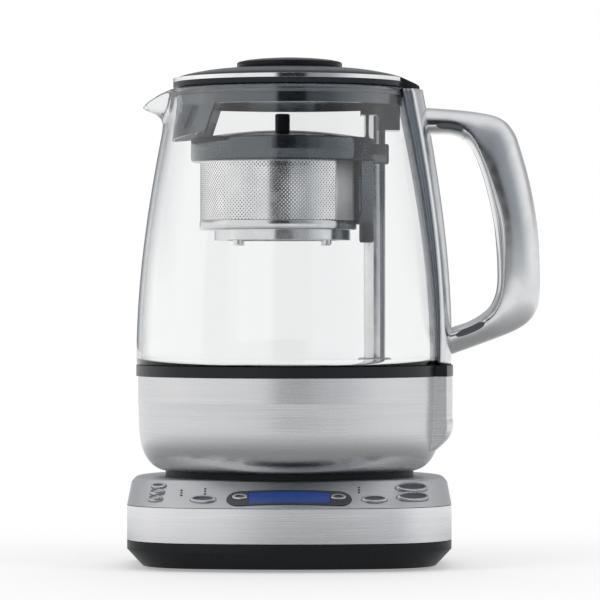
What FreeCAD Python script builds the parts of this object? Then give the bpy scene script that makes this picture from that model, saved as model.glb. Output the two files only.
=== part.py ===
"""Automatic tea maker: a glass jug with a motor-lifted tea basket, on a power base with a sloped panel.

Millimetres. +Z is up, the origin is on the table under the axis of the jug, the handle points to +X,
the spout to -X and the control panel faces -Y.
"""
import FreeCAD
import Part
import math
import os
from FreeCAD import Vector

os.makedirs("parts", exist_ok=True)

# ---- power base: plan ----
BASE_HALF_WIDTH = 83.5
BASE_FRONT = 88.0            # from the jug axis to the middle of the bowed front
FRONT_BOW_R = 200.0
FRONT_CORNER_R = 42.0
PANEL_RUN = 22.0             # how far the sloped panel runs back
TOP_CORNER_R = 38.0
TOP_SIDE_DRAFT = 2.0         # how far the sides of the top lean in
TOP_EDGE_R = 3.5

# ---- power base: heights and walls ----
FOOT_HEIGHT = 1.4            # rubber foot below the plinth
FOOT_RECESS = 1.2
FOOT_R = 7.0
PLINTH_HEIGHT = 13.0
PLINTH_CHAMFER_IN = 8.0
PLINTH_CHAMFER_UP = 8.6
PLINTH_WALL = 2.5
PLINTH_FLOOR = 3.0
BAND_HEIGHT = 17.7
BAND_THICKNESS = 1.5
SEAM_GAP = 0.3               # shadow line between band, plinth and top
TOP_HEIGHT = 13.0
TOP_SKIN = 1.5
FIT = 0.1                    # gap between pieces that are fixed together

# ---- control panel ----
BEZEL_LENGTH = 63.2
BEZEL_HEIGHT = 13.0
LEFT = -1
RIGHT = 1
# side, share of the field beside the display surround, shift from it, distance behind the front edge,
# length, height
BUTTON_PLACES = {
    "power_button": (RIGHT, 0.593, 0.0, 15.8, 18.6, 7.6),
    "start_button": (RIGHT, 0.601, 0.0, 8.3, 18.6, 7.6),
    "strength_button": (RIGHT, 0.223, 0.0, 6.8, 13.4, 6.4),
    "plus_button": (RIGHT, 0.0, -6.7, 8.6, 8.0, 5.0),
    "minus_button": (LEFT, 0.0, -6.7, 8.6, 8.0, 5.0),
    "tea_type_button": (LEFT, 0.229, 0.0, 6.8, 13.4, 6.4),
    "clock_button": (LEFT, 0.701, 0.0, 6.4, 9.4, 4.6),
    "timer_button": (LEFT, 0.686, 0.0, 11.6, 9.4, 4.6),
    "basket_button": (LEFT, 0.674, 0.0, 16.8, 9.4, 4.6),
}
BUTTON_PROUD = 1.0
BUTTON_TRAVEL = 0.7
BUTTON_RIM = 1.3             # raised rim round the dished top
BUTTON_DISH = 0.45
BUTTON_GAP = 0.2             # running gap round each button
BUTTON_DEPTH = 5.0           # from the panel face to the foot of a button
SWITCH_SIZE = 3.4
SWITCH_HEIGHT = 1.8
SWITCH_GAP = 0.1             # left between button and switch at full travel
DISPLAY_BACK = 8.8
BEZEL_PROUD = 0.4
LENS_LENGTH = 41.0
LENS_HEIGHT = 10.0
LENS_THICKNESS = 1.2
DISPLAY_DEPTH = 5.0
LED_COLUMNS = [
    (LEFT, 0.445, 11.9),
    (LEFT, 0.212, 13.3),
    (RIGHT, 0.073, 14.6),
]
LED_PITCH = 2.3
LED_R = 0.55
LED_PROUD = 0.15
CARRIER_BACK = 42.0          # the carrier's rear face, in front of the jug axis
CARRIER_FLOOR = 8.0          # below the seam
BOARD_THICKNESS = 1.6

# ---- connector between base and jug ----
PLUG_R = 16.0
PLUG_HEIGHT = 5.0            # above the top of the base
PLUG_PIN_R = 4.0
PLUG_PIN_HEIGHT = 5.0
PLUG_DEPTH = 14.0
PLUG_GAP = 0.5
SOCKET_WALL = 3.0
SOCKET_ROOF = 6.0
EAR_REACH = 10.0
EAR_WIDTH = 10.0
EAR_THICKNESS = 2.5
INLET_R = 6.0
INLET_BORE_R = 3.3
INLET_LENGTH = 11.0
INLET_Z = 23.0

# ---- jug: heights above the top of the base ----
COVER_HEIGHT = 3.0           # black base cover below the bowl
COVER_R = 65.0
BOWL_R = 79.4
BOWL_TOP = 52.3
BOWL_WALL = 1.2
BOWL_FLOOR_R = 66.0
BOWL_TURN = [(6.4, 4.0), (2.4, 10.8), (0.55, 21.0)]      # in from the wall, up from the floor
BULGE_TURN = [(14.6, 5.0), (8.6, 10.4), (2.6, 16.0), (0.0, 27.0)]
BULGE_OUT = 6.1              # how far the bulge under the handle stands out
BULGE_HALF_WIDTH = 26.0
GASKET_HEIGHT = 5.7
GASKET_R = 80.4
HEATER_R = 75.6
HEATER_THICKNESS = 2.5
HEATER_STEP = 0.8            # the heated floor stands above the gasket by this
HEATER_RIM = 2.0
ELEMENT_INSET = 17.0         # middle of the heating tube, inside the rim of the heater plate
ELEMENT_TUBE_R = 3.2
ELEMENT_GAP = 32.0           # open end of the heating tube
SENSOR_X = -26.0
SENSOR_R = 4.0
SENSOR_FLANGE_R = 6.5
SENSOR_LENGTH = 10.0
CUTOUT_SIZE = (24.0, 16.0, 9.0)
CUTOUT_Y = -26.0
GLASS_WALL = 2.2
GLASS_TOP = 202.5
GLASS_FOOT_R = 80.3
GLASS_BELLY_R = 79.8
GLASS_BELLY_H = 81.0
GLASS_MID_R = 76.7
GLASS_MID_H = 118.3
GLASS_SHOULDER_R = 70.5
GLASS_SHOULDER_H = 160.0
GLASS_RIM_R = 62.2

# ---- spout ----
SPOUT_REACH = 77.5
SPOUT_DROP = 5.5             # how far the tip lies below the rim
SPOUT_ROOT_H = 181.0
SPOUT_ROOT_HALF = 15.0
SPOUT_TIP_R = 4.5

# ---- spine and handle ----
SPINE_HALF_WIDTH = 24.4
SPINE_OUT_LOW = 4.6
SPINE_OUT_HIGH = 7.6
SPINE_TOP = 201.8
SPINE_CORNER_R = 1.6
LINER_SHARE_GAP = 0.3        # liner to glass
COVER_SHEET = 2.2            # thickness of the steel spine cover
HANDLE_HALF_WIDTH = 13.0
HANDLE_CROWN = (6.0, 9.0)    # how far the outside rounds in towards the sides, at the arms and at the grip
HOLE_CROWN = (4.0, 6.0)      # the same for the finger hole
CROWN_POWER = 2.4            # 2 makes the section of the handle an oval, more makes it squarer
CROWN_STATIONS = (0.0, 0.45, 0.8, 1.0)   # shares of the half width
CROWN_REACH = 0.98           # below 1 leaves an edge between the rounding and the flat side
HANDLE_OUT = 131.3           # furthest point of the grip from the axis
GRIP_THICKNESS = 18.2
STRIP_THICKNESS = 3.8
ARM_TOP_H = 192.6
ARM_THICKNESS = 13.4
ARM_LOW_H = 64.2
LOW_ARM_THICKNESS = 12.8
ARM_ROOT_X = 68.0            # arms end inside the spine
HANDLE_SCREW_LENGTH = 15.0
HANDLE_HEAD_HEIGHT = 1.6
LOW_ARM_FALL = 0.035         # how far the lower arm falls to its root, as a share of the handle's height
PAD_DEPTH = 5.0
PAD_ROOT = 10.0              # from the root of the arms to the upper pad
PAD_LENGTH = 14.0
PAD_LOW_STEP = 9.5           # the lower pad lies this much further out
PAD_SLANT = 1.0
STRIP_TOP_CLEAR = 5.0        # the strip stops this far below the upper arm
STRIP_LOW_CLEAR = 9.0

# ---- lift post and drive ----
POST_X = 44.7
POST_R = 5.65
POST_BORE_R = 4.75
POST_TOP = 191.5
POST_CAP = 2.0
POST_TAIL = 5.0              # part of the post below the heater plate
POST_EDGE_R = 1.2
POST_BUSH = 5.0              # bearing for the lead screw in the foot of the post
POST_FOOT_R = 9.0
POST_FOOT_HEIGHT = 3.0
SCREW_R = 1.6
SCREW_GAP = 0.25
MAGNET_R = 4.5
MAGNET_HEIGHT = 18.0
GEAR_MODULE = 0.5
GEAR_TEETH = 36
PINION_TEETH = 12
GEAR_WIDTH = 3.0
GEAR_H = 28.0
PINION_SHAFT_R = 1.0
MOTOR_R = 9.0
MOTOR_HEIGHT = 17.0
BRACKET_THICKNESS = 2.0
BRACKET_HALF_WIDTH = 13.0
BRACKET_LEG = 2.0
BRACKET_LEG_WIDTH = 9.0
BRACKET_END = 7.0            # past the middle of the post
BEARING_GAP = 0.05
GEAR_BACKLASH = 0.15         # added to the centre distance

# ---- tea basket at the top of its travel ----
RING_X = -3.7
RING_R = 48.0
RING_TOP = 176.5
RING_HEIGHT = 12.5
RING_WALL = 3.0
RUN_GAP = 0.35               # running gap between basket and post
WALL_X = -6.0
WALL_R = 40.8
WALL_SHEET = 0.8
WALL_BOTTOM = 128.6
BASKET_FLOOR = 1.2
FOOT_RING_R = 35.6
FOOT_RING_HEIGHT = 5.4
BASKET_FOOT_HEIGHT = 2.4
BASKET_FOOT_R = 2.6
COLLAR_HALF_WIDTH = 9.5
COLLAR_OUT = 51.9
COLLAR_TOP = 173.4
COLLAR_HEIGHT = 10.5
POD_HALF_WIDTH = 20.0
POD_OUT = 43.8
POD_BOTTOM = 131.4
MESH_ROWS = 6
MESH_COLUMNS = 34
MESH_HOLE = 3.6
MESH_PLAIN = 4.6             # plain band under the perforations
BASKET_LID_R = 44.5
BASKET_LID_RISE = 4.2
BASKET_KNOB_R = 3.9
BASKET_KNOB_TOP = 189.5
BASKET_LID_EDGE = 2.0
BASKET_LID_GAP = 0.5
SHELF = 2.4
LEDGE_WIDTH = 2.3
LEDGE_HEIGHT = 1.6
FLANGE_OUT = 1.3
COLLAR_CORNER_R = 4.0
POD_CORNER_R = 5.0
TAIL_NECK = 8.0
POD_TAIL_BOTTOM = 122.0
POD_TAIL_HALF_WIDTH = 7.5
POD_MAGNET = (5.0, 6.0, 18.0)
POD_MAGNET_Y = 12.0
FLOOR_HOLE = 3.2

# ---- lid ----
LID_R = 61.0
LID_GAP = 0.2                # lip of the lid to the rim of the glass
LIP_HEIGHT = 3.2
TRIM_HEIGHT = 2.1
TRIM_WIDTH = 2.0
DOME_TOP = 214.8
DOME_SHELL = 2.4
KNOB_R = 27.6
KNOB_TOP = 219.0
KNOB_EDGE = 2.2
SKIRT_R = 59.2
SKIRT_WALL = 2.2
SKIRT_BOTTOM = 193.2
UNDERPLATE_H = 196.4
UNDERPLATE = 1.6
SEAL_H = 198.4
SEAL_HEIGHT = 1.8
SEAL_DEPTH = 1.1
SEAL_R = 59.75
TONGUE_REACH = 68.7
TONGUE_HALF_WIDTH = 20.0
TONGUE_ROOT_X = 40.0
TONGUE_EDGE = 1.2             # thickness of its rim
TONGUE_RISE = 1.8             # above the trim ring where it leaves the dome
TONGUE_TURN = 6.0             # inside the rim of the lid
STRAINER_BOTTOM = 177.0
STRAINER_ANGLE = 48.0
STRAINER_HOLE = 1.6
STRAINER_SHEET = 1.4
STRAINER_ROWS = 4
STRAINER_COLUMNS = 4         # each side of the middle
STRAINER_PITCH = 9.0         # degrees
BLOCK_IN = 37.4
BLOCK_STEP_X = 47.6
BLOCK_OUT = 57.4
BLOCK_HALF_WIDTH = 10.5
BLOCK_STEP_H = 188.6
BLOCK_BOTTOM = 180.6

# ---- fasteners ----
SCREW_HEAD_R = 3.2
SCREW_HEAD_HEIGHT = 1.8
SCREW_SHANK_R = 1.5
BASE_SCREW_X = 55.0
BASE_SCREW_Y = 40.0
COVER_SCREW_IN = 11.0        # from the rim of the jug's base cover
COVER_SCREW_LENGTH = 14.7
COVER_BOSS_R = 4.5

# ---- derived heights ----
PLINTH_Z = FOOT_HEIGHT
PLINTH_TOP = PLINTH_Z + PLINTH_HEIGHT
BAND_Z = PLINTH_TOP + SEAM_GAP
BAND_TOP = BAND_Z + BAND_HEIGHT
SEAM_Z = BAND_TOP + SEAM_GAP
SEAT_Z = SEAM_Z + TOP_HEIGHT
PANEL_SLOPE = math.atan2(TOP_HEIGHT, PANEL_RUN)
BOWL_BASE_Z = SEAT_Z + COVER_HEIGHT
BOWL_TOP_Z = SEAT_Z + BOWL_TOP
GASKET_TOP_Z = BOWL_TOP_Z + GASKET_HEIGHT
FLOOR_Z = GASKET_TOP_Z + HEATER_STEP
GLASS_TOP_Z = SEAT_Z + GLASS_TOP

X_AXIS = Vector(1, 0, 0)
Y_AXIS = Vector(0, 1, 0)
Z_AXIS = Vector(0, 0, 1)
FAR = 300.0                  # larger than the whole object, for cutting tools


# ---------------------------------------------------------------- helpers
def segment(a, b):
    return Part.LineSegment(a, b).toShape()


def arc(a, b, c):
    return Part.Arc(a, b, c).toShape()


def spline(points):
    curve = Part.BSplineCurve()
    curve.interpolate(points)
    return curve.toShape()


def rod(radius, z_low, z_high, x=0.0, y=0.0):
    return Part.makeCylinder(radius, z_high - z_low, Vector(x, y, z_low))


def pipe(outer, inner, z_low, z_high, x=0.0, y=0.0):
    return rod(outer, z_low, z_high, x, y).cut(rod(inner, z_low - 1, z_high + 1, x, y))


def block(x_low, x_high, y_low, y_high, z_low, z_high):
    corner = Vector(x_low, y_low, z_low)
    return Part.makeBox(x_high - x_low, y_high - y_low, z_high - z_low, corner)


def cap_arc(radius, z_edge, z_top, x=0.0):
    """Arc of a sphere on the upright line at x, from its edge up to its top."""
    rise = z_top - z_edge
    ball = (radius ** 2 + rise ** 2) / (2 * rise)
    half_turn = math.asin(radius / ball) / 2
    middle = Vector(x + ball * math.sin(half_turn), 0, z_top - ball * (1 - math.cos(half_turn)))
    return arc(Vector(x + radius, 0, z_edge), middle, Vector(x, 0, z_top))


def polygon(points):
    return Part.Face(Part.makePolygon(points + [points[0]]))


def turned(edges, x=0.0):
    """Revolve a closed outline drawn in the XZ plane about the upright line at x."""
    face = Part.Face(Part.Wire(edges))
    return face.revolve(Vector(x, 0, 0), Z_AXIS, 360)


def turned_polygon(pairs, x=0.0):
    face = polygon([Vector(x + radius, 0, z) for radius, z in pairs])
    return face.revolve(Vector(x, 0, 0), Z_AXIS, 360)


def fused(shapes):
    first = shapes[0]
    return first.multiFuse(shapes[1:]).removeSplitter() if len(shapes) > 1 else first


def main_solid(shape):
    return max(shape.Solids, key=lambda solid: solid.Volume)


def top_edges(shape, z):
    """Edges of a shape that lie wholly at the height z."""
    found = []
    for edge in shape.Edges:
        box = edge.BoundBox
        if abs(box.ZMin - z) < 1e-4 and abs(box.ZMax - z) < 1e-4:
            found.append(edge)
    return found


# ---------------------------------------------------------------- power base
def corner_centre(half, front, bow_r, corner_r):
    x = half - corner_r
    y = bow_r - front - math.sqrt((bow_r - corner_r) ** 2 - x ** 2)
    return x, y


def base_wire(z, half, front, bow_r, corner_r):
    """Plan of the base: bowed front, round corners, straight sides and a rear round the jug."""
    cx, cy = corner_centre(half, front, bow_r, corner_r)
    bow_y = bow_r - front
    reach = bow_r / (bow_r - corner_r)
    tx = cx * reach
    ty = bow_y + (cy - bow_y) * reach
    middle = math.atan2(ty - cy, tx - cx) / 2
    mx = cx + corner_r * math.cos(middle)
    my = cy + corner_r * math.sin(middle)
    edges = [
        arc(Vector(-tx, ty, z), Vector(0, -front, z), Vector(tx, ty, z)),
        arc(Vector(tx, ty, z), Vector(mx, my, z), Vector(half, cy, z)),
        segment(Vector(half, cy, z), Vector(half, 0, z)),
        arc(Vector(half, 0, z), Vector(0, half, z), Vector(-half, 0, z)),
        segment(Vector(-half, 0, z), Vector(-half, cy, z)),
        arc(Vector(-half, cy, z), Vector(-mx, my, z), Vector(-tx, ty, z)),
    ]
    return Part.Wire(edges)


def plan_wire(z, inset):
    return base_wire(z, BASE_HALF_WIDTH - inset, BASE_FRONT - inset,
                     FRONT_BOW_R - inset, FRONT_CORNER_R - inset)


def plan_prism(inset, z_low, z_high):
    return Part.Face(plan_wire(z_low, inset)).extrude(Vector(0, 0, z_high - z_low))


def top_loft(inset, z_low, sink):
    """The top of the base, moved inwards by inset and with its flat lowered by sink."""
    slide = inset / math.sin(PANEL_SLOPE)
    low = base_wire(z_low, BASE_HALF_WIDTH - inset, BASE_FRONT - slide,
                    FRONT_BOW_R - slide, FRONT_CORNER_R - inset)
    rise = sink / math.tan(PANEL_SLOPE)
    half = BASE_HALF_WIDTH - TOP_SIDE_DRAFT - inset
    front = BASE_FRONT - PANEL_RUN - slide + rise
    high = base_wire(SEAT_Z - sink, half, front, FRONT_BOW_R - slide, TOP_CORNER_R - inset)
    return Part.makeLoft([low, high], True, True)


def front_edge_y(x):
    cx, cy = corner_centre(BASE_HALF_WIDTH, BASE_FRONT, FRONT_BOW_R, FRONT_CORNER_R)
    turn_x = cx * FRONT_BOW_R / (FRONT_BOW_R - FRONT_CORNER_R)
    if abs(x) <= turn_x:
        return FRONT_BOW_R - BASE_FRONT - math.sqrt(FRONT_BOW_R ** 2 - x ** 2)
    return cy - math.sqrt(FRONT_CORNER_R ** 2 - (abs(x) - cx) ** 2)


TOP_BLOCK = top_loft(0.0, SEAM_Z, 0.0)


def panel_frame(x, back):
    """Placement on the sloped panel: local Z out of the panel, local X along it."""
    y = front_edge_y(x) + back
    probe = segment(Vector(x, y, SEAM_Z), Vector(x, y, SEAT_Z + 1))
    point = Vector(x, y, probe.common(TOP_BLOCK).BoundBox.ZMax)
    spot = Part.Vertex(point)
    face = min(TOP_BLOCK.Faces, key=lambda one: one.distToShape(spot)[0])
    u, v = face.Surface.parameter(point)
    normal = face.normalAt(u, v)
    along = Z_AXIS.cross(normal)
    along.normalize()
    up = normal.cross(along)
    return FreeCAD.Placement(FreeCAD.Matrix(
        along.x, up.x, normal.x, point.x,
        along.y, up.y, normal.y, point.y,
        along.z, up.z, normal.z, point.z,
        0, 0, 0, 1))


def oval(length, height):
    curve = Part.Ellipse(Vector(0, 0, 0), length / 2, height / 2)
    return Part.Face(Part.Wire(curve.toShape()))


def lozenge(length, height):
    r = height / 2
    run = length / 2 - r
    edges = [
        segment(Vector(-run, -r, 0), Vector(run, -r, 0)),
        arc(Vector(run, -r, 0), Vector(run + r, 0, 0), Vector(run, r, 0)),
        segment(Vector(run, r, 0), Vector(-run, r, 0)),
        arc(Vector(-run, r, 0), Vector(-run - r, 0, 0), Vector(-run, -r, 0)),
    ]
    return Part.Face(Part.Wire(edges))


def rectangle(length, height):
    return Part.makePlane(length, height, Vector(-length / 2, -height / 2, 0))


def panel_prism(frame, face, low, high):
    """A straight prism of a flat outline, from low to high along the panel's normal."""
    solid = face.extrude(Vector(0, 0, high - low))
    solid.translate(Vector(0, 0, low))
    solid.Placement = frame.multiply(solid.Placement)
    return solid


def panel_tile(frame, face, low, high):
    """A tile that follows the panel's surface, from low to high out of it."""
    normal = frame.Rotation.multVec(Z_AXIS)
    reach = BEZEL_HEIGHT
    prism = panel_prism(frame, face, low - reach, high + reach)
    upper = TOP_BLOCK.copy()
    upper.translate(normal * high)
    tile = prism.common(upper)
    floor = panel_prism(frame, rectangle(FAR, FAR), low - FAR, low)
    return tile.cut(floor)


def panel_x(side, share, shift):
    """Place across the panel, from a share of the field between display surround and side."""
    end = BEZEL_LENGTH / 2
    return side * (end + share * (BASE_HALF_WIDTH - end) + shift)


BUTTON_FRAMES = {name: panel_frame(panel_x(*place[:3]), place[3]) for name, place in BUTTON_PLACES.items()}
DISPLAY_FRAME = panel_frame(0.0, DISPLAY_BACK)


def button_holes(gap):
    holes = []
    for name, place in BUTTON_PLACES.items():
        outline = oval(place[4] + 2 * gap, place[5] + 2 * gap)
        holes.append(panel_prism(BUTTON_FRAMES[name], outline, -BUTTON_DEPTH - BUTTON_TRAVEL, FAR / 10))
    return holes


def led_frames():
    frames = []
    for side, share, back in LED_COLUMNS:
        for step in (-1, 0, 1):
            run = step * LED_PITCH * math.cos(PANEL_SLOPE)
            frames.append(panel_frame(panel_x(side, share, 0.0), back + run))
    return frames


def led_rods(radius, low, high):
    circle = Part.Face(Part.Wire(Part.Circle(Vector(0, 0, 0), Z_AXIS, radius).toShape()))
    return [panel_prism(frame, circle, low, high) for frame in led_frames()]


def make_rubber_feet():
    spots = [(BASE_SCREW_X, -BASE_SCREW_Y), (-BASE_SCREW_X, -BASE_SCREW_Y),
             (BASE_SCREW_X, BASE_SCREW_Y), (-BASE_SCREW_X, BASE_SCREW_Y)]
    shift = FOOT_R + SCREW_HEAD_R + 2
    feet = []
    for x, y in spots:
        side = shift if x < 0 else -shift
        feet.append(rod(FOOT_R, 0, PLINTH_Z + FOOT_RECESS, x + side, y))
    return feet


def base_screw_spots():
    return [(x, y) for x in (-BASE_SCREW_X, BASE_SCREW_X) for y in (-BASE_SCREW_Y, BASE_SCREW_Y)]


def make_base_plinth():
    chamfer_low = plan_wire(PLINTH_Z, PLINTH_CHAMFER_IN)
    chamfer_high = plan_wire(PLINTH_Z + PLINTH_CHAMFER_UP, 0.0)
    skirt = Part.makeLoft([chamfer_low, chamfer_high], True, True)
    rim = plan_prism(0.0, PLINTH_Z + PLINTH_CHAMFER_UP, PLINTH_TOP)
    collar_inset = BAND_THICKNESS + FIT
    collar = plan_prism(collar_inset, PLINTH_TOP, SEAM_Z)
    body = fused([skirt, rim, collar])
    pocket_low = plan_wire(PLINTH_Z + PLINTH_FLOOR, PLINTH_CHAMFER_IN + PLINTH_WALL)
    pocket_high = plan_wire(PLINTH_TOP, collar_inset + PLINTH_WALL)
    pocket = Part.makeLoft([pocket_low, pocket_high], True, True)
    well = plan_prism(collar_inset + PLINTH_WALL, PLINTH_TOP, SEAM_Z + 1)
    body = body.cut(pocket).cut(well)
    posts = [rod(SCREW_HEAD_R + 1.5, PLINTH_Z + PLINTH_FLOOR, SEAM_Z, x, y) for x, y in base_screw_spots()]
    body = fused([body] + posts)
    holes = []
    for x, y in base_screw_spots():
        holes.append(rod(SCREW_HEAD_R + FIT, PLINTH_Z - 1, PLINTH_Z + SCREW_HEAD_HEIGHT + 0.5, x, y))
        holes.append(rod(SCREW_SHANK_R + FIT, PLINTH_Z - 1, SEAM_Z + 1, x, y))
    feet = [rod(FOOT_R + FIT, PLINTH_Z - 1, PLINTH_Z + FOOT_RECESS, f.BoundBox.Center.x, f.BoundBox.Center.y)
            for f in make_rubber_feet()]
    inlet = Part.makeCylinder(INLET_R + FIT, FAR, Vector(0, 0, INLET_Z), Y_AXIS)
    return body.cut(Part.makeCompound(holes + feet + [inlet]))


def make_base_screws():
    screws = []
    for x, y in base_screw_spots():
        head = rod(SCREW_HEAD_R, PLINTH_Z + 0.5, PLINTH_Z + 0.5 + SCREW_HEAD_HEIGHT, x, y)
        shank = rod(SCREW_SHANK_R, PLINTH_Z + 0.5, SEAM_Z + TOP_HEIGHT / 2, x, y)
        screws.append(head.fuse(shank))
    return screws


def make_side_band():
    band = plan_prism(0.0, BAND_Z, BAND_TOP).cut(plan_prism(BAND_THICKNESS, BAND_Z - 1, BAND_TOP + 1))
    inlet = Part.makeCylinder(INLET_R + FIT, FAR, Vector(0, 0, INLET_Z), Y_AXIS)
    return band.cut(inlet)


def make_top_plate():
    skin = TOP_BLOCK.makeFillet(TOP_EDGE_R, top_edges(TOP_BLOCK, SEAT_Z))
    skin = skin.cut(top_loft(TOP_SKIN, SEAM_Z - 0.01, TOP_SKIN))
    bosses = []
    for x, y in base_screw_spots():
        boss = pipe(SCREW_HEAD_R + 1, SCREW_SHANK_R, SEAM_Z, SEAT_Z - TOP_SKIN + 0.5, x, y)
        bosses.append(boss.common(TOP_BLOCK))
    skin = fused([skin] + bosses)
    bezel_hole = panel_prism(DISPLAY_FRAME, lozenge(BEZEL_LENGTH + 2 * FIT, BEZEL_HEIGHT + 2 * FIT),
                             -FAR / 10, FAR / 10)
    plug_hole = rod(PLUG_R + FIT, SEAM_Z, SEAT_Z + 1)
    side_buttons = button_holes(BUTTON_GAP)
    leds = led_rods(LED_R + FIT, -2 * TOP_SKIN, 2 * TOP_SKIN)
    return skin.cut(Part.makeCompound(side_buttons + leds)).cut(bezel_hole).cut(plug_hole)


def carrier_block():
    upper = top_loft(TOP_SKIN + FIT, SEAM_Z, TOP_SKIN + FIT)
    lower = plan_prism(BAND_THICKNESS + PLINTH_WALL + 3 * FIT, SEAM_Z - CARRIER_FLOOR, SEAM_Z)
    body = upper.fuse(lower)
    front = block(-FAR, FAR, -FAR, -CARRIER_BACK, 0, FAR)
    return body.common(front)


def make_panel_carrier():
    cuts = button_holes(BUTTON_GAP)
    for name in BUTTON_PLACES:
        top = -BUTTON_DEPTH - BUTTON_TRAVEL - SWITCH_GAP
        cuts.append(panel_prism(BUTTON_FRAMES[name], rectangle(SWITCH_SIZE + 2 * FIT, SWITCH_SIZE + 2 * FIT),
                                top - SWITCH_HEIGHT, 0))
    well = panel_prism(DISPLAY_FRAME, lozenge(BEZEL_LENGTH + 2 * FIT, BEZEL_HEIGHT + 2 * FIT),
                       -DISPLAY_DEPTH, FAR / 10)
    cuts += led_rods(LED_R + FIT, -3 * TOP_SKIN, FAR / 10)
    body = carrier_block().cut(Part.makeCompound(cuts)).cut(well)
    posts = [rod(SCREW_HEAD_R + 2, 0, FAR, x, y) for x, y in base_screw_spots()]
    return main_solid(body.cut(Part.makeCompound(posts)))


def make_button(name):
    length, height = BUTTON_PLACES[name][4:]
    frame = BUTTON_FRAMES[name]
    cap = panel_prism(frame, oval(length, height), -BUTTON_DEPTH, BUTTON_PROUD)
    rim = [edge for edge in cap.Edges if edge.Length > height and is_at(frame, edge, BUTTON_PROUD)]
    cap = cap.makeFillet(BUTTON_PROUD * 0.5, rim)
    dish = oval(length - 2 * BUTTON_RIM, height - 2 * BUTTON_RIM)
    return cap.cut(panel_prism(frame, dish, BUTTON_PROUD - BUTTON_DISH, BUTTON_PROUD + 1))


def is_at(frame, edge, level):
    local = frame.inverse().multVec(edge.CenterOfMass)
    return abs(local.z - level) < 1e-3


def make_button_switches():
    switches = []
    for name in BUTTON_PLACES:
        top = -BUTTON_DEPTH - BUTTON_TRAVEL - SWITCH_GAP
        switches.append(panel_prism(BUTTON_FRAMES[name], rectangle(SWITCH_SIZE, SWITCH_SIZE),
                                    top - SWITCH_HEIGHT, top))
    return switches


def make_display_bezel():
    tile = panel_tile(DISPLAY_FRAME, lozenge(BEZEL_LENGTH, BEZEL_HEIGHT), -DISPLAY_DEPTH + FIT, BEZEL_PROUD)
    window = panel_prism(DISPLAY_FRAME, rectangle(LENS_LENGTH + FIT, LENS_HEIGHT + FIT), -FAR / 10, FAR / 10)
    return tile.cut(window).cut(Part.makeCompound(button_holes(BUTTON_GAP)))


def make_display_lens():
    return panel_tile(DISPLAY_FRAME, rectangle(LENS_LENGTH, LENS_HEIGHT), -LENS_THICKNESS, BEZEL_PROUD / 2)


def make_display_module():
    return panel_prism(DISPLAY_FRAME, rectangle(LENS_LENGTH, LENS_HEIGHT), -DISPLAY_DEPTH + FIT, -LENS_THICKNESS)


def make_indicator_leds():
    return led_rods(LED_R, -3 * TOP_SKIN + FIT, LED_PROUD)


def make_control_board():
    z = SEAM_Z - CARRIER_FLOOR
    shape = plan_prism(BAND_THICKNESS + PLINTH_WALL + 3, z - BOARD_THICKNESS, z)
    front = block(-FAR, FAR, -FAR, -CARRIER_BACK, 0, FAR)
    posts = [rod(SCREW_HEAD_R + 2, 0, FAR, x, y) for x, y in base_screw_spots()]
    return shape.common(front).cut(Part.makeCompound(posts))


def make_cord_inlet():
    outer = BASE_HALF_WIDTH + 1.0
    body = Part.makeCylinder(INLET_R, INLET_LENGTH, Vector(0, outer - INLET_LENGTH, INLET_Z), Y_AXIS)
    bore = Part.makeCylinder(INLET_BORE_R, FAR, Vector(0, 0, INLET_Z), Y_AXIS)
    return body.cut(bore)


def make_connector_plug():
    top = SEAT_Z + PLUG_HEIGHT
    body = rod(PLUG_R, SEAT_Z - PLUG_DEPTH, SEAT_Z - TOP_SKIN)
    flange = rod(PLUG_R + 5, SEAT_Z - TOP_SKIN - FIT - 3, SEAT_Z - TOP_SKIN - FIT)
    crown = rod(PLUG_R - 2, SEAT_Z - TOP_SKIN - 1, top)
    groove = pipe(PLUG_R - 5, PLUG_PIN_R + 2, top - PLUG_HEIGHT, top + 1)
    pin = rod(PLUG_PIN_R, SEAT_Z, top + PLUG_PIN_HEIGHT)
    neck = rod(PLUG_R, SEAT_Z - TOP_SKIN - 1, SEAT_Z)
    return fused([body, flange, neck, crown]).cut(groove).fuse(pin)


def make_connector_column():
    """Post of the plinth that carries the connector."""
    return pipe(PLUG_R + 3, PLUG_R - 4, PLINTH_Z + PLINTH_FLOOR, SEAT_Z - PLUG_DEPTH)


# ---------------------------------------------------------------- jug: bowl and floor
def bowl_edges(inset, extra_top):
    """Half outline of the bowl from the axis: flat underside, tight turn, nearly upright wall."""
    r = BOWL_R - inset
    z = BOWL_BASE_Z + inset
    wall_foot = BOWL_TOP * 0.75
    top = BOWL_TOP_Z + extra_top
    points = [Vector(BOWL_FLOOR_R - inset, 0, z)]
    points += [Vector(r - step_in, 0, z + step_up) for step_in, step_up in BOWL_TURN]
    points.append(Vector(r, 0, SEAT_Z + wall_foot))
    return [
        segment(Vector(0, 0, z), points[0]),
        spline(points),
        segment(points[-1], Vector(r, 0, top)),
        segment(Vector(r, 0, top), Vector(0, 0, top)),
        segment(Vector(0, 0, top), Vector(0, 0, z)),
    ]


def bulge_edges(inset, extra_top):
    r = BOWL_R + BULGE_OUT - inset
    z = BOWL_BASE_Z + inset
    top = BOWL_TOP_Z + extra_top
    points = [Vector(BOWL_FLOOR_R - inset - 1.0, 0, z)]
    points += [Vector(r - step_in, 0, z + step_up) for step_in, step_up in BULGE_TURN]
    return [
        segment(Vector(0, 0, z), points[0]),
        spline(points),
        segment(points[-1], Vector(r, 0, top)),
        segment(Vector(r, 0, top), Vector(0, 0, top)),
        segment(Vector(0, 0, top), Vector(0, 0, z)),
    ]


def bowl_body(inset, extra_top):
    round_part = turned(bowl_edges(inset, extra_top))
    swell = turned(bulge_edges(inset, extra_top))
    swell = swell.common(wide_tongue(inset))
    return round_part.fuse(swell)


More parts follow.
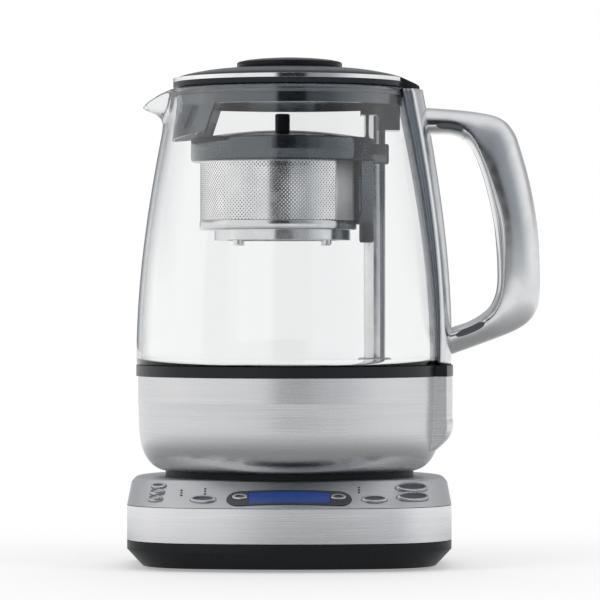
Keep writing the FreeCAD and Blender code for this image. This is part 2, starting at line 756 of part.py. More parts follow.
def wide_tongue(inset):
    half = BULGE_HALF_WIDTH - inset
    return block(0, FAR, -half, half, 0, FAR)


def make_jug_bowl():
    shell = bowl_body(0.0, 0.0).cut(bowl_body(BOWL_WALL, 2.0))
    return shell.cut(rod(COVER_R - 3 + FIT, BOWL_BASE_Z - 1, BOWL_BASE_Z + BOWL_WALL + 1))


def make_jug_base_cover():
    plate = rod(COVER_R, SEAT_Z, BOWL_BASE_Z)
    spigot = rod(COVER_R - 3, BOWL_BASE_Z, BOWL_BASE_Z + BOWL_WALL + 2)
    cover = fused([plate, spigot])
    relief = pipe(COVER_R - 6, PLUG_R + PLUG_GAP + SOCKET_WALL + 3, SEAT_Z - 1, SEAT_Z + 1.2)
    mouth = rod(PLUG_R + PLUG_GAP, SEAT_Z - 1, BOWL_BASE_Z + BOWL_WALL + 3)
    holes = [rod(SCREW_SHANK_R + FIT, SEAT_Z - 1, BOWL_TOP_Z, x, y) for x, y in cover_screw_spots()]
    heads = [rod(SCREW_HEAD_R + FIT, SEAT_Z - 1, SEAT_Z + 1.2 + SCREW_HEAD_HEIGHT, x, y)
             for x, y in cover_screw_spots()]
    return cover.cut(relief).cut(mouth).cut(Part.makeCompound(holes + heads))


def cover_screw_spots():
    r = COVER_R - COVER_SCREW_IN
    return [(r * math.cos(math.radians(a)), r * math.sin(math.radians(a))) for a in (90, 210, 330)]


def make_cover_screws():
    screws = []
    for x, y in cover_screw_spots():
        head = rod(SCREW_HEAD_R, SEAT_Z + 1.3, SEAT_Z + 1.2 + SCREW_HEAD_HEIGHT, x, y)
        shank = rod(SCREW_SHANK_R, SEAT_Z + 1.3, SEAT_Z + 1.3 + COVER_SCREW_LENGTH, x, y)
        screws.append(head.fuse(shank))
    return screws


def make_connector_socket():
    r = PLUG_R + PLUG_GAP
    floor = SEAT_Z + PLUG_HEIGHT + PLUG_PIN_HEIGHT + PLUG_GAP
    low = BOWL_BASE_Z + BOWL_WALL + 2 + FIT
    cup = pipe(r + SOCKET_WALL, r, low, floor)
    lid = rod(r + SOCKET_WALL, floor, floor + SOCKET_ROOF)
    sleeve = pipe(PLUG_R - 5 - PLUG_GAP, PLUG_PIN_R + 2 + PLUG_GAP, SEAT_Z + PLUG_GAP, floor)
    ears = block(-EAR_WIDTH / 2, EAR_WIDTH / 2, -r - EAR_REACH, r + EAR_REACH, low, low + EAR_THICKNESS)
    ears = ears.cut(rod(r, 0, FAR))
    return fused([cup, lid, sleeve, ears])


def cover_bosses():
    return [rod(COVER_BOSS_R, BOWL_BASE_Z + BOWL_WALL + 2 + FIT, FLOOR_Z - HEATER_THICKNESS, x, y)
            for x, y in cover_screw_spots()]


def make_gasket():
    ring = pipe(GASKET_R, HEATER_R + FIT, BOWL_TOP_Z, GASKET_TOP_Z)
    swell = rod(BOWL_R + BULGE_OUT + 0.3, BOWL_TOP_Z, GASKET_TOP_Z).common(wide_tongue(-0.3))
    swell = swell.cut(rod(GASKET_R - 2, 0, FAR))
    return ring.fuse(swell)


def make_heater_plate():
    top = FLOOR_Z
    under = top - HEATER_THICKNESS
    disc = rod(HEATER_R, under, top)
    low = BOWL_TOP_Z - HEATER_RIM
    wall = pipe(HEATER_R, HEATER_R - HEATER_RIM, low, under)
    flange = pipe(BOWL_R - BOWL_WALL - FIT, HEATER_R - HEATER_RIM, low, BOWL_TOP_Z - FIT)
    plate = fused([disc, wall, flange])
    plate = plate.cut(rod(POST_R + FIT, 0, FAR, POST_X))
    screw_end = SEAT_Z + 2.3 + COVER_SCREW_LENGTH
    bosses = [boss.cut(rod(SCREW_SHANK_R, 0, screw_end, boss.BoundBox.Center.x, boss.BoundBox.Center.y))
              for boss in cover_bosses()]
    return fused([plate] + bosses)


def make_heating_element():
    r = HEATER_R - ELEMENT_INSET
    z = FLOOR_Z - HEATER_THICKNESS - ELEMENT_TUBE_R - FIT
    tube = Part.makeTorus(r, ELEMENT_TUBE_R, Vector(0, 0, z))
    for x, y in cover_screw_spots():
        tube = tube.cut(rod(COVER_BOSS_R + 1.5, 0, FAR, x, y))
    gap = block(-FAR, 0, -ELEMENT_GAP / 2, ELEMENT_GAP / 2, 0, FAR)
    return tube.cut(gap)


def make_temperature_sensor():
    under = FLOOR_Z - HEATER_THICKNESS
    flange = rod(SENSOR_FLANGE_R, under - SENSOR_LENGTH * 0.3, under, SENSOR_X)
    return rod(SENSOR_R, under - SENSOR_LENGTH, under, SENSOR_X).fuse(flange)


def make_thermal_cutout():
    under = FLOOR_Z - HEATER_THICKNESS
    length, width, height = CUTOUT_SIZE
    return block(-length / 2, length / 2, CUTOUT_Y - width / 2, CUTOUT_Y + width / 2, under - height, under)


# ---------------------------------------------------------------- jug: glass
def glass_points(inset):
    return [
        Vector(GLASS_FOOT_R - inset, 0, GASKET_TOP_Z),
        Vector(GLASS_BELLY_R - inset, 0, SEAT_Z + GLASS_BELLY_H),
        Vector(GLASS_MID_R - inset, 0, SEAT_Z + GLASS_MID_H),
        Vector(GLASS_SHOULDER_R - inset, 0, SEAT_Z + GLASS_SHOULDER_H),
        Vector(GLASS_RIM_R - inset, 0, GLASS_TOP_Z),
    ]


def glass_solid(inset, z_low_extra, top_extra):
    points = glass_points(inset)
    low = points[0]
    high = points[-1]
    edges = [spline(points)]
    if z_low_extra > 0:
        drop = Vector(low.x, 0, low.z - z_low_extra)
        edges.append(segment(drop, low))
        foot = drop
    else:
        foot = low
    peak = Vector(high.x, 0, high.z + top_extra)
    if top_extra > 0:
        edges.append(segment(high, peak))
    edges.append(segment(peak, Vector(0, 0, peak.z)))
    edges.append(segment(Vector(0, 0, peak.z), Vector(0, 0, foot.z)))
    edges.append(segment(Vector(0, 0, foot.z), foot))
    return turned(Part.__sortEdges__(edges))


def glass_radius(z):
    """Outside radius of the glass at a height."""
    curve = Part.BSplineCurve()
    curve.interpolate(glass_points(0.0))
    low = curve.FirstParameter
    high = curve.LastParameter
    for _ in range(50):
        middle = (low + high) / 2
        if curve.value(middle).z < z:
            low = middle
        else:
            high = middle
    return curve.value((low + high) / 2).x


def spout_section(z, reach, half, tip_r):
    """Horizontal cut through the spout: a wedge from inside the jug to a round nose."""
    root = -GLASS_RIM_R * 0.55
    nose = -(reach - tip_r)
    edges = [
        segment(Vector(root, -half, z), Vector(nose, -tip_r, z)),
        arc(Vector(nose, -tip_r, z), Vector(nose - tip_r, 0, z), Vector(nose, tip_r, z)),
        segment(Vector(nose, tip_r, z), Vector(root, half, z)),
        segment(Vector(root, half, z), Vector(root, -half, z)),
    ]
    return Part.Wire(edges)


def spout_solid(inset, lift):
    root_z = SEAT_Z + SPOUT_ROOT_H
    rise = GLASS_TOP_Z - root_z
    start = glass_radius(root_z) - 1.5
    spread = SPOUT_REACH - start
    sections = []
    for share, out in ((0.0, 0.0), (0.3, 0.14), (0.55, 0.52), (0.75, 0.95), (0.9, 1.04), (1.3, 1.1)):
        reach = start + spread * out - inset
        half = SPOUT_ROOT_HALF * (1.5 + 0.5 * share) - inset
        sections.append(spout_section(root_z + rise * share + lift, reach, half, SPOUT_TIP_R - inset * 0.6))
    return Part.makeLoft(sections, True, False)


def rim_cut():
    """What is above the rim: level over the jug, sloping down along the spout."""
    top = GLASS_TOP_Z
    start = -GLASS_RIM_R + 2
    points = [
        Vector(FAR, -FAR, top),
        Vector(start, -FAR, top),
        Vector(-SPOUT_REACH, -FAR, top - SPOUT_DROP),
        Vector(-FAR, -FAR, top - SPOUT_DROP - (FAR - SPOUT_REACH) * 0.3),
        Vector(-FAR, -FAR, FAR + top),
        Vector(FAR, -FAR, FAR + top),
    ]
    return polygon(points).extrude(Vector(0, 2 * FAR, 0))


def make_glass_body():
    outer = glass_solid(0.0, 0.0, 4.0).fuse(spout_solid(0.0, 0.0))
    inner = glass_solid(GLASS_WALL, 2.0, 6.0).fuse(spout_solid(GLASS_WALL, 0.01))
    return outer.cut(inner).cut(rim_cut())


# ---------------------------------------------------------------- spine and handle
def spine_out(z):
    share = (z - GASKET_TOP_Z) / (SEAT_Z + SPINE_TOP - GASKET_TOP_Z)
    return SPINE_OUT_LOW + (SPINE_OUT_HIGH - SPINE_OUT_LOW) * share


def crescent(z, r_in, r_out, half):
    """Section of the spine at a height, round the jug axis, with rounded outer corners."""
    corner = min(SPINE_CORNER_R, (r_out - r_in) * 0.8)
    a_in = math.asin(half / r_in)
    a_out = math.asin((half - corner) / r_out)
    side_r = r_out - corner
    a_side = math.asin(half / side_r)
    a_mid = (a_side + a_out) / 2
    mid_r = r_out - corner * 0.3

    def at(radius, angle):
        return Vector(radius * math.cos(angle), radius * math.sin(angle), z)

    edges = [
        arc(at(r_in, -a_in), at(r_in, 0), at(r_in, a_in)),
        segment(at(r_in, a_in), at(side_r, a_side)),
        arc(at(side_r, a_side), at(mid_r, a_mid), at(r_out, a_out)),
        arc(at(r_out, a_out), at(r_out, 0), at(r_out, -a_out)),
        arc(at(r_out, -a_out), at(mid_r, -a_mid), at(side_r, -a_side)),
        segment(at(side_r, -a_side), at(r_in, -a_in)),
    ]
    return Part.Wire(edges)


def spine_loft(inner, outer, z_low, z_high, half):
    """Solid that follows the glass; inner and outer give its distances from the glass at a height."""
    count = 7
    sections = []
    for step in range(count):
        z = z_low + (z_high - z_low) * step / (count - 1)
        glass = glass_radius(z)
        sections.append(crescent(z, glass + inner(z), glass + outer(z), half))
    return Part.makeLoft(sections, True, False)


SPINE_LOW_Z = GASKET_TOP_Z + 0.1
SPINE_HIGH_Z = SEAT_Z + SPINE_TOP


def make_spine_cover():
    cover = spine_loft(lambda z: spine_out(z) - COVER_SHEET, spine_out, SPINE_LOW_Z, SPINE_HIGH_Z,
                       SPINE_HALF_WIDTH)
    return cover.cut(Part.makeCompound(handle_screw_rods(SCREW_SHANK_R)))


def make_spine_liner():
    """Dark liner between glass and steel; its outer corners are square to the cover."""
    count = 7
    sections = []
    half = SPINE_HALF_WIDTH - 0.6
    for step in range(count):
        z = SPINE_LOW_Z + (SPINE_HIGH_Z - SPINE_LOW_Z) * step / (count - 1)
        r_in = glass_radius(z) + LINER_SHARE_GAP
        r_out = glass_radius(z) + spine_out(z) - COVER_SHEET - FIT
        a_in = math.asin(half / r_in)
        a_out = math.asin(half / r_out)
        corner = [Vector(r * math.cos(a), r * math.sin(a), z)
                  for r, a in ((r_in, -a_in), (r_in, a_in), (r_out, a_out), (r_out, -a_out))]
        edges = [
            arc(corner[0], Vector(r_in, 0, z), corner[1]),
            segment(corner[1], corner[2]),
            arc(corner[2], Vector(r_out, 0, z), corner[3]),
            segment(corner[3], corner[0]),
        ]
        sections.append(Part.Wire(edges))
    liner = Part.makeLoft(sections, True, False)
    holes = handle_screw_rods(SCREW_SHANK_R) + handle_screw_heads(SCREW_HEAD_R + FIT)
    return liner.cut(Part.makeCompound(holes))


def at_handle(x, h):
    return Vector(x, 0, SEAT_Z + h)


# shares of the reach past the root and of the height between the arms, from the upper arm down
HANDLE_OUTLINE = [
    (0.379, 0.9922), (0.572, 0.9688), (0.7014, 0.933), (0.8025, 0.8645), (0.8863, 0.7477), (0.9542, 0.5849),
    (1.0, 0.3146), (0.9763, 0.1869), (0.8831, 0.1215), (0.763, 0.0857), (0.6003, 0.0576),
]
# the same for the finger hole, and how much each point rises with the inset
HOLE_OUTLINE = [
    (0.3874, 0.9961, 0.0), (0.569, 0.9706, 0.4), (0.6901, 0.9119, 0.0), (0.7918, 0.8121, 0.0),
    (0.9225, 0.6067, 0.0), (1.0, 0.2955, 0.0), (0.9855, 0.1663, 0.0), (0.8935, 0.0783, -0.4),
    (0.678, 0.0254, -0.4),
]


def handle_outer_chain():
    reach = HANDLE_OUT - ARM_ROOT_X
    height = ARM_TOP_H - ARM_LOW_H
    points = [(ARM_ROOT_X + reach * u, ARM_LOW_H + height * v) for u, v in HANDLE_OUTLINE]
    return [(ARM_ROOT_X, ARM_TOP_H)] + points + [(ARM_ROOT_X, ARM_LOW_H - height * LOW_ARM_FALL)]


def handle_hole_chain(inset):
    """Finger hole; inset moves its grip side outwards by the thickness of the inner strip."""
    reach = HANDLE_OUT - GRIP_THICKNESS - STRIP_THICKNESS - ARM_ROOT_X
    low = ARM_LOW_H + LOW_ARM_THICKNESS
    top = ARM_TOP_H - ARM_THICKNESS
    height = top - low
    points = [(ARM_ROOT_X + reach * u + inset * min(1.0, 1.5 * u), low + height * v + inset * rise)
              for u, v, rise in HOLE_OUTLINE]
    return [(ARM_ROOT_X, top)] + points + [(ARM_ROOT_X, low - height * LOW_ARM_FALL * 1.8)]


def handle_wire(chain, root, y):
    points = [Vector(x, y, SEAT_Z + h) for x, h in chain]
    start = Vector(root, y, points[0].z)
    end = Vector(root, y, points[-1].z)
    return Part.Wire([
        segment(start, points[1]),
        spline(points[1:-1]),
        segment(points[-2], end),
        segment(end, start),
    ])


def moved_in(chain, at_arm, at_grip):
    """The chain moved towards the inside of the loop, by more at mid-height than at the arms."""
    top = chain[0][1]
    low = chain[-1][1]
    moved = []
    for index, (x, h) in enumerate(chain):
        before = chain[max(index - 1, 0)]
        after = chain[min(index + 1, len(chain) - 1)]
        run = after[0] - before[0]
        rise = after[1] - before[1]
        length = math.hypot(run, rise)
        share = (h - low) / (top - low)
        step = at_arm + (at_grip - at_arm) * max(0.0, 4 * share * (1 - share))
        moved.append((x + rise / length * step, h - run / length * step))
    return moved


def crowned(chain, at_arm, at_grip, root):
    """Loft across the handle, whose outline rounds in towards both sides."""
    shares = [-share for share in reversed(CROWN_STATIONS[1:])] + list(CROWN_STATIONS)
    wires = []
    for share in shares:
        fall = 1.0 - (1.0 - (CROWN_REACH * abs(share)) ** CROWN_POWER) ** (1.0 / CROWN_POWER)
        outline = moved_in(chain, at_arm * fall, at_grip * fall)
        wires.append(handle_wire(outline, root, HANDLE_HALF_WIDTH * share))
    return Part.makeLoft(wires, True, False)


def extruded_y(wire, half):
    face = Part.Face(wire)
    face.translate(Vector(0, -half, 0))
    return face.extrude(Vector(0, 2 * half, 0))


def spine_envelope():
    return spine_loft(lambda z: -GLASS_RIM_R / 2, lambda z: spine_out(z) + FIT / 2, GASKET_TOP_Z,
                      SPINE_HIGH_Z + 2, SPINE_HALF_WIDTH)


def make_handle_body():
    """Arms and grip as one crowned form, before the inner strip and the pads are let in."""
    outer = crowned(handle_outer_chain(), HANDLE_CROWN[0], HANDLE_CROWN[1], ARM_ROOT_X)
    hole = crowned(handle_hole_chain(0.0), -HOLE_CROWN[0], -HOLE_CROWN[1], ARM_ROOT_X - 4)
    return outer.cut(hole)


HANDLE_BODY = make_handle_body()


def strip_zone(thickness, gap):
    """The finger hole widened by the thickness of the inner strip, between the strip's two ends."""
    zone = extruded_y(handle_wire(handle_hole_chain(thickness), ARM_ROOT_X, 0), FAR)
    top = SEAT_Z + ARM_TOP_H - ARM_THICKNESS - STRIP_TOP_CLEAR
    low = SEAT_Z + ARM_LOW_H + LOW_ARM_THICKNESS + STRIP_LOW_CLEAR
    return zone.common(block(ARM_ROOT_X, FAR, -FAR, FAR, low - gap, top + gap))


def make_handle_shell():
    shell = HANDLE_BODY.cut(strip_zone(STRIP_THICKNESS, FIT))
    shell = shell.cut(Part.makeCompound(handle_screw_rods(SCREW_SHANK_R)))
    return shell.cut(Part.makeCompound(handle_pad_blocks())).cut(spine_envelope())


def handle_screw_heights():
    top = SEAT_Z + ARM_TOP_H - ARM_THICKNESS / 2
    low = SEAT_Z + ARM_LOW_H + LOW_ARM_THICKNESS / 2
    return [top, low]


def handle_screw_rods(radius):
    rods = []
    for z in handle_screw_heights():
        start = glass_radius(z - SCREW_HEAD_R) + LINER_SHARE_GAP + FIT
        rods.append(Part.makeCylinder(radius, HANDLE_SCREW_LENGTH, Vector(start, 0, z), X_AXIS))
    return rods


def handle_screw_heads(radius):
    heads = []
    for z in handle_screw_heights():
        start = glass_radius(z - SCREW_HEAD_R) + LINER_SHARE_GAP + FIT
        heads.append(Part.makeCylinder(radius, HANDLE_HEAD_HEIGHT, Vector(start, 0, z), X_AXIS))
    return heads


def make_handle_screws():
    pairs = zip(handle_screw_rods(SCREW_SHANK_R - FIT), handle_screw_heads(SCREW_HEAD_R))
    return [shank.fuse(head) for shank, head in pairs]


def handle_pad_blocks():
    top = ARM_TOP_H - ARM_THICKNESS
    low = ARM_LOW_H + LOW_ARM_THICKNESS
    near = ARM_ROOT_X + PAD_ROOT
    far = near + PAD_LENGTH
    step = PAD_LOW_STEP
    deep = PAD_DEPTH
    upper = [(near, top - deep), (near, top + deep), (far, top + deep * 0.7), (far, top - deep)]
    lower = [(near + step, low + deep), (near + step + PAD_SLANT, low - deep * 0.7),
             (far + step + PAD_SLANT, low + deep * 0.28), (far + step, low + deep * 1.4)]
    blocks = []
    for corners in (upper, lower):
        face = polygon([at_handle(x, h) for x, h in corners])
        face.translate(Vector(0, -FAR, 0))
        blocks.append(face.extrude(Vector(0, 2 * FAR, 0)))
    return blocks


def make_handle_pads():
    """Dark inlays at the roots of both arms, flush with the handle all round."""
    return [HANDLE_BODY.common(one).cut(spine_envelope()) for one in handle_pad_blocks()]


def make_handle_insert():
    return HANDLE_BODY.common(strip_zone(STRIP_THICKNESS - FIT, 0.0))


# ---------------------------------------------------------------- lift post and drive
def make_lift_post():
    low = FLOOR_Z - HEATER_THICKNESS - POST_TAIL
    tube = rod(POST_R, low, SEAT_Z + POST_TOP, POST_X)
    tube = tube.makeFillet(POST_EDGE_R, top_edges(tube, SEAT_Z + POST_TOP))
    foot = rod(POST_FOOT_R, FLOOR_Z, FLOOR_Z + POST_FOOT_HEIGHT, POST_X)
    foot = foot.makeFillet(POST_FOOT_HEIGHT / 2, top_edges(foot, FLOOR_Z + POST_FOOT_HEIGHT))
    bore = rod(POST_BORE_R, low + POST_BUSH, SEAT_Z + POST_TOP - POST_CAP, POST_X)
    pivot = rod(SCREW_R + BEARING_GAP, low - 1, low + POST_BUSH + 1, POST_X)
    return tube.fuse(foot).cut(bore).cut(pivot)


def gear_distance():
    return GEAR_MODULE * (GEAR_TEETH + PINION_TEETH) / 2 + GEAR_BACKLASH


def toothed_disc(teeth, x, z, phase):
    pitch_r = GEAR_MODULE * teeth / 2
    tip_r = pitch_r + GEAR_MODULE
    root_r = pitch_r - 1.25 * GEAR_MODULE
    step = 2 * math.pi / teeth
    points = []
    for tooth in range(teeth):
        middle = phase + tooth * step
        for radius, share in ((root_r, -0.29), (tip_r, -0.1), (tip_r, 0.1), (root_r, 0.29)):
            angle = middle + share * step
            points.append(Vector(x + radius * math.cos(angle), radius * math.sin(angle), z))
    return polygon(points).extrude(Vector(0, 0, GEAR_WIDTH))


def make_lead_screw():
    z = SEAT_Z + GEAR_H - BRACKET_THICKNESS - SEAM_GAP
    return rod(SCREW_R, z, SEAT_Z + POST_TOP - POST_CAP - 0.5, POST_X)


def make_screw_gear():
    gear = toothed_disc(GEAR_TEETH, POST_X, SEAT_Z + GEAR_H, 0.0)
    hub = rod(SCREW_R + 2.5, SEAT_Z + GEAR_H, SEAT_Z + GEAR_H + GEAR_WIDTH + 2.5, POST_X)
    return gear.fuse(hub).cut(rod(SCREW_R, 0, FAR, POST_X))


def make_motor_pinion():
    x = POST_X - gear_distance()
    pinion = toothed_disc(PINION_TEETH, x, SEAT_Z + GEAR_H, math.pi / PINION_TEETH)
    low = SEAT_Z + GEAR_H - BRACKET_THICKNESS - 4
    shaft = rod(PINION_SHAFT_R, low, SEAT_Z + GEAR_H + GEAR_WIDTH + 1, x)
    return pinion.fuse(shaft)


def make_lift_motor():
    x = POST_X - gear_distance()
    top = SEAT_Z + GEAR_H - BRACKET_THICKNESS - SEAM_GAP
    can = rod(MOTOR_R, top - MOTOR_HEIGHT, top, x)
    return can.cut(rod(PINION_SHAFT_R + BEARING_GAP, top - 6, top + 1, x))


def make_gear_bracket():
    x = POST_X - gear_distance()
    top = SEAT_Z + GEAR_H - SEAM_GAP
    half = BRACKET_HALF_WIDTH
    low_x = x - MOTOR_R
    high_x = POST_X + BRACKET_END
    plate = block(low_x, high_x, -half, half, top - BRACKET_THICKNESS, top)
    under = FLOOR_Z - HEATER_THICKNESS
    legs = []
    for y in (-half, half - BRACKET_LEG):
        for leg_x in (low_x, high_x - BRACKET_LEG_WIDTH):
            legs.append(block(leg_x, leg_x + BRACKET_LEG_WIDTH, y, y + BRACKET_LEG,
                              top - BRACKET_THICKNESS, under))
    plate = fused([plate] + legs)
    plate = plate.cut(rod(PINION_SHAFT_R + BEARING_GAP, 0, FAR, x))
    return plate.cut(rod(SCREW_R + BEARING_GAP, 0, FAR, POST_X))


def pod_magnet_z():
    return SEAT_Z + (POD_BOTTOM + COLLAR_TOP - COLLAR_HEIGHT) / 2


def make_lift_magnet():
    z = pod_magnet_z()
    return pipe(MAGNET_R, SCREW_R + SCREW_GAP, z - MAGNET_HEIGHT / 2, z + MAGNET_HEIGHT / 2, POST_X)


# ---------------------------------------------------------------- tea basket
def ring_low():
    return SEAT_Z + RING_TOP - RING_HEIGHT


def post_passage():
    return rod(POST_R + RUN_GAP, 0, FAR, POST_X)


def magnet_boxes(gap, drop):
    length, width, height = POD_MAGNET
    z = pod_magnet_z() - height / 2
    x = (POST_X + WALL_X + WALL_R) / 2 - length / 2 - 1.0
    boxes = []
    for y in (-POD_MAGNET_Y, POD_MAGNET_Y):
        boxes.append(block(x - gap, x + length + gap, y - width / 2 - gap, y + width / 2 + gap,
                           z - drop, z + height + gap))
    return boxes


def make_basket_ring():
    top = SEAT_Z + RING_TOP
    low = ring_low()
    ring = pipe(RING_R, RING_R - RING_WALL, low, top, RING_X)
    ledge_top = top - BASKET_LID_EDGE
    ledge = pipe(RING_R - RING_WALL + 0.5, RING_R - RING_WALL + 0.5 - LEDGE_WIDTH,
                 ledge_top - LEDGE_HEIGHT, ledge_top, RING_X)
    shelf = rod(RING_R - 0.5, low, low + SHELF, RING_X).cut(rod(WALL_R + FIT, 0, FAR, WALL_X))
    collar = block(POST_X - COLLAR_HALF_WIDTH, COLLAR_OUT, -COLLAR_HALF_WIDTH, COLLAR_HALF_WIDTH,
                   SEAT_Z + COLLAR_TOP - COLLAR_HEIGHT, SEAT_Z + COLLAR_TOP)
    collar = rounded_outer(collar, COLLAR_CORNER_R)
    pod = block(WALL_X + WALL_R * 0.7, POD_OUT, -POD_HALF_WIDTH, POD_HALF_WIDTH,
                SEAT_Z + POD_BOTTOM, low + SHELF)
    pod = rounded_outer(pod, POD_CORNER_R)
    tail = polygon([
        Vector(POST_X - TAIL_NECK, -POD_TAIL_HALF_WIDTH, SEAT_Z + POD_BOTTOM + 1),
        Vector(POD_OUT, -POD_TAIL_HALF_WIDTH, SEAT_Z + POD_BOTTOM + 1),
        Vector(POD_OUT - 1.0, -POD_TAIL_HALF_WIDTH, SEAT_Z + POD_TAIL_BOTTOM),
        Vector(POST_X - TAIL_NECK + 3.0, -POD_TAIL_HALF_WIDTH, SEAT_Z + POD_TAIL_BOTTOM),
    ]).extrude(Vector(0, 2 * POD_TAIL_HALF_WIDTH, 0))
    body = fused([ring, ledge, shelf, collar, pod, tail])
    drum = rod(WALL_R + FIT, 0, low + SHELF, WALL_X)
    inside = rod(WALL_R - 1.0, low, FAR, WALL_X)
    mouth = rod(RING_R - RING_WALL + 0.5 - LEDGE_WIDTH, 0, FAR, RING_X)
    body = body.cut(drum).cut(inside.common(mouth))
    flange = rod(WALL_R + FLANGE_OUT + FIT, low + SHELF, low + SHELF + WALL_SHEET + FIT, WALL_X)
    body = body.cut(flange).cut(Part.makeCompound(magnet_boxes(FIT, FAR)))
    return body.cut(post_passage())


def rounded_outer(shape, radius):
    """Round the two upright edges on the handle side of a box."""
    far = shape.BoundBox.XMax
    edges = []
    for edge in shape.Edges:
        box = edge.BoundBox
        if box.XMin > far - 1e-3 and box.ZMax - box.ZMin > 1:
            edges.append(edge)
    return shape.makeFillet(radius, edges)


def make_basket_wall():
    low = SEAT_Z + WALL_BOTTOM
    top = ring_low() + SHELF + WALL_SHEET
    wall = pipe(WALL_R, WALL_R - WALL_SHEET, low, top, WALL_X)
    flange = pipe(WALL_R + FLANGE_OUT, WALL_R - WALL_SHEET, top - WALL_SHEET, top, WALL_X)
    body = wall.fuse(flange)
    mesh_low = low + MESH_PLAIN
    mesh_high = ring_low() - 0.8
    row_step = (mesh_high - mesh_low) / MESH_ROWS
    pod_angle = math.degrees(math.asin(POD_HALF_WIDTH / WALL_R)) + 4.0
    side = MESH_HOLE / math.sqrt(2)
    cutters = []
    for row in range(MESH_ROWS):
        z = mesh_low + (row + 0.5) * row_step
        for column in range(MESH_COLUMNS):
            angle = 360.0 * (column + 0.5 * (row % 2)) / MESH_COLUMNS
            if min(angle, 360.0 - angle) < pod_angle:
                continue
            peg = Part.makeBox(6.0, side, side, Vector(-3.0, -side / 2, -side / 2))
            peg.rotate(Vector(0, 0, 0), X_AXIS, 45)
            peg.translate(Vector(WALL_R - WALL_SHEET / 2, 0, z))
            peg.rotate(Vector(0, 0, 0), Z_AXIS, angle)
            peg.translate(Vector(WALL_X, 0, 0))
            cutters.append(peg)
    return body.cut(Part.makeCompound(cutters))


def make_basket_floor():
    low = SEAT_Z + WALL_BOTTOM
    disc = rod(WALL_R - WALL_SHEET - FIT / 2, low, low + BASKET_FLOOR, WALL_X)
    cutters = []
    for radius, count in ((8.0, 6), (16.0, 12), (24.0, 18)):
        for step in range(count):
            peg = block(radius - FLOOR_HOLE / 2, radius + FLOOR_HOLE / 2, -FLOOR_HOLE / 2, FLOOR_HOLE / 2,
                        low - 1, low + BASKET_FLOOR + 1)
            peg.rotate(Vector(0, 0, 0), Z_AXIS, 360.0 * step / count)
            peg.translate(Vector(WALL_X, 0, 0))
            cutters.append(peg)
    return disc.cut(Part.makeCompound(cutters))


def make_foot_ring():
    top = SEAT_Z + WALL_BOTTOM
    low = top - FOOT_RING_HEIGHT
    ring = pipe(FOOT_RING_R, FOOT_RING_R - 1.2, low, top, RING_X)
    lip = pipe(FOOT_RING_R, FOOT_RING_R - 6.0, low, low + 1.0, RING_X)
    feet = []
    r = FOOT_RING_R - BASKET_FOOT_R - 0.6
    for angle in (45, 135, 225, 315):
        x = RING_X + r * math.cos(math.radians(angle))
        y = r * math.sin(math.radians(angle))
        feet.append(rod(BASKET_FOOT_R, low - BASKET_FOOT_HEIGHT, low + 0.5, x, y))
    return fused([ring, lip] + feet)


def make_basket_lid():
    top = SEAT_Z + RING_TOP
    r = RING_R - RING_WALL - BASKET_LID_GAP
    low = top - BASKET_LID_EDGE
    rise = BASKET_LID_RISE
    edges = [
        segment(Vector(RING_X, 0, low), Vector(RING_X + r, 0, low)),
        segment(Vector(RING_X + r, 0, low), Vector(RING_X + r, 0, top)),
        cap_arc(r, top, top + rise, RING_X),
        segment(Vector(RING_X, 0, top + rise), Vector(RING_X, 0, low)),
    ]
    dome = turned(edges, RING_X)
    hollow = rod(r - 6, low - 1, low + BASKET_LID_EDGE * 0.6, RING_X)
    knob_hole = rod(BASKET_KNOB_R - 1.2, low - 1, FAR, RING_X)
    notch = rod(POST_R + RUN_GAP + BASKET_LID_GAP, 0, FAR, POST_X)
    return dome.cut(hollow).cut(knob_hole).cut(notch)


def make_basket_lid_knob():
    seat = SEAT_Z + RING_TOP + BASKET_LID_RISE
    top = SEAT_Z + BASKET_KNOB_TOP
    stalk = rod(BASKET_KNOB_R, seat, top, RING_X)
    stalk = stalk.makeFillet(1.0, top_edges(stalk, top))
    pin = rod(BASKET_KNOB_R - 1.2, SEAT_Z + RING_TOP, seat + 1, RING_X)
    return stalk.fuse(pin)


# ---------------------------------------------------------------- lid
LID_Z = GLASS_TOP_Z + LID_GAP
LIP_TOP_Z = LID_Z + LIP_HEIGHT
TRIM_TOP_Z = LIP_TOP_Z + TRIM_HEIGHT
DOME_Z = SEAT_Z + DOME_TOP


def dome_solid(drop, grow):
    """Solid of the dome; drop lowers it and grow shrinks its edge."""
    edge_r = LID_R - TRIM_WIDTH - grow
    flat_r = KNOB_R - 1.0
    low = Vector(0, 0, LID_Z - drop)
    edges = [
        segment(low, Vector(edge_r, 0, LID_Z - drop)),
        segment(Vector(edge_r, 0, LID_Z - drop), Vector(edge_r, 0, TRIM_TOP_Z - drop)),
        arc(Vector(edge_r, 0, TRIM_TOP_Z - drop),
            Vector((edge_r + flat_r) / 2 + 3.0, 0, DOME_Z - drop - (DOME_Z - TRIM_TOP_Z) * 0.3),
            Vector(flat_r, 0, DOME_Z - drop)),
        segment(Vector(flat_r, 0, DOME_Z - drop), Vector(0, 0, DOME_Z - drop)),
        segment(Vector(0, 0, DOME_Z - drop), low),
    ]
    return turned(edges)


def tongue_solid():
    """Tail of the cap that covers the head of the spine."""
    crest = TRIM_TOP_Z + TONGUE_RISE
    tail = turned_polygon([
        (0.0, LID_Z),
        (TONGUE_REACH, LID_Z),
        (TONGUE_REACH, LID_Z + TONGUE_EDGE),
        (LID_R - TONGUE_TURN, crest),
        (0.0, crest),
    ])
    return tail.common(block(TONGUE_ROOT_X, FAR, -TONGUE_HALF_WIDTH, TONGUE_HALF_WIDTH, LID_Z, FAR))


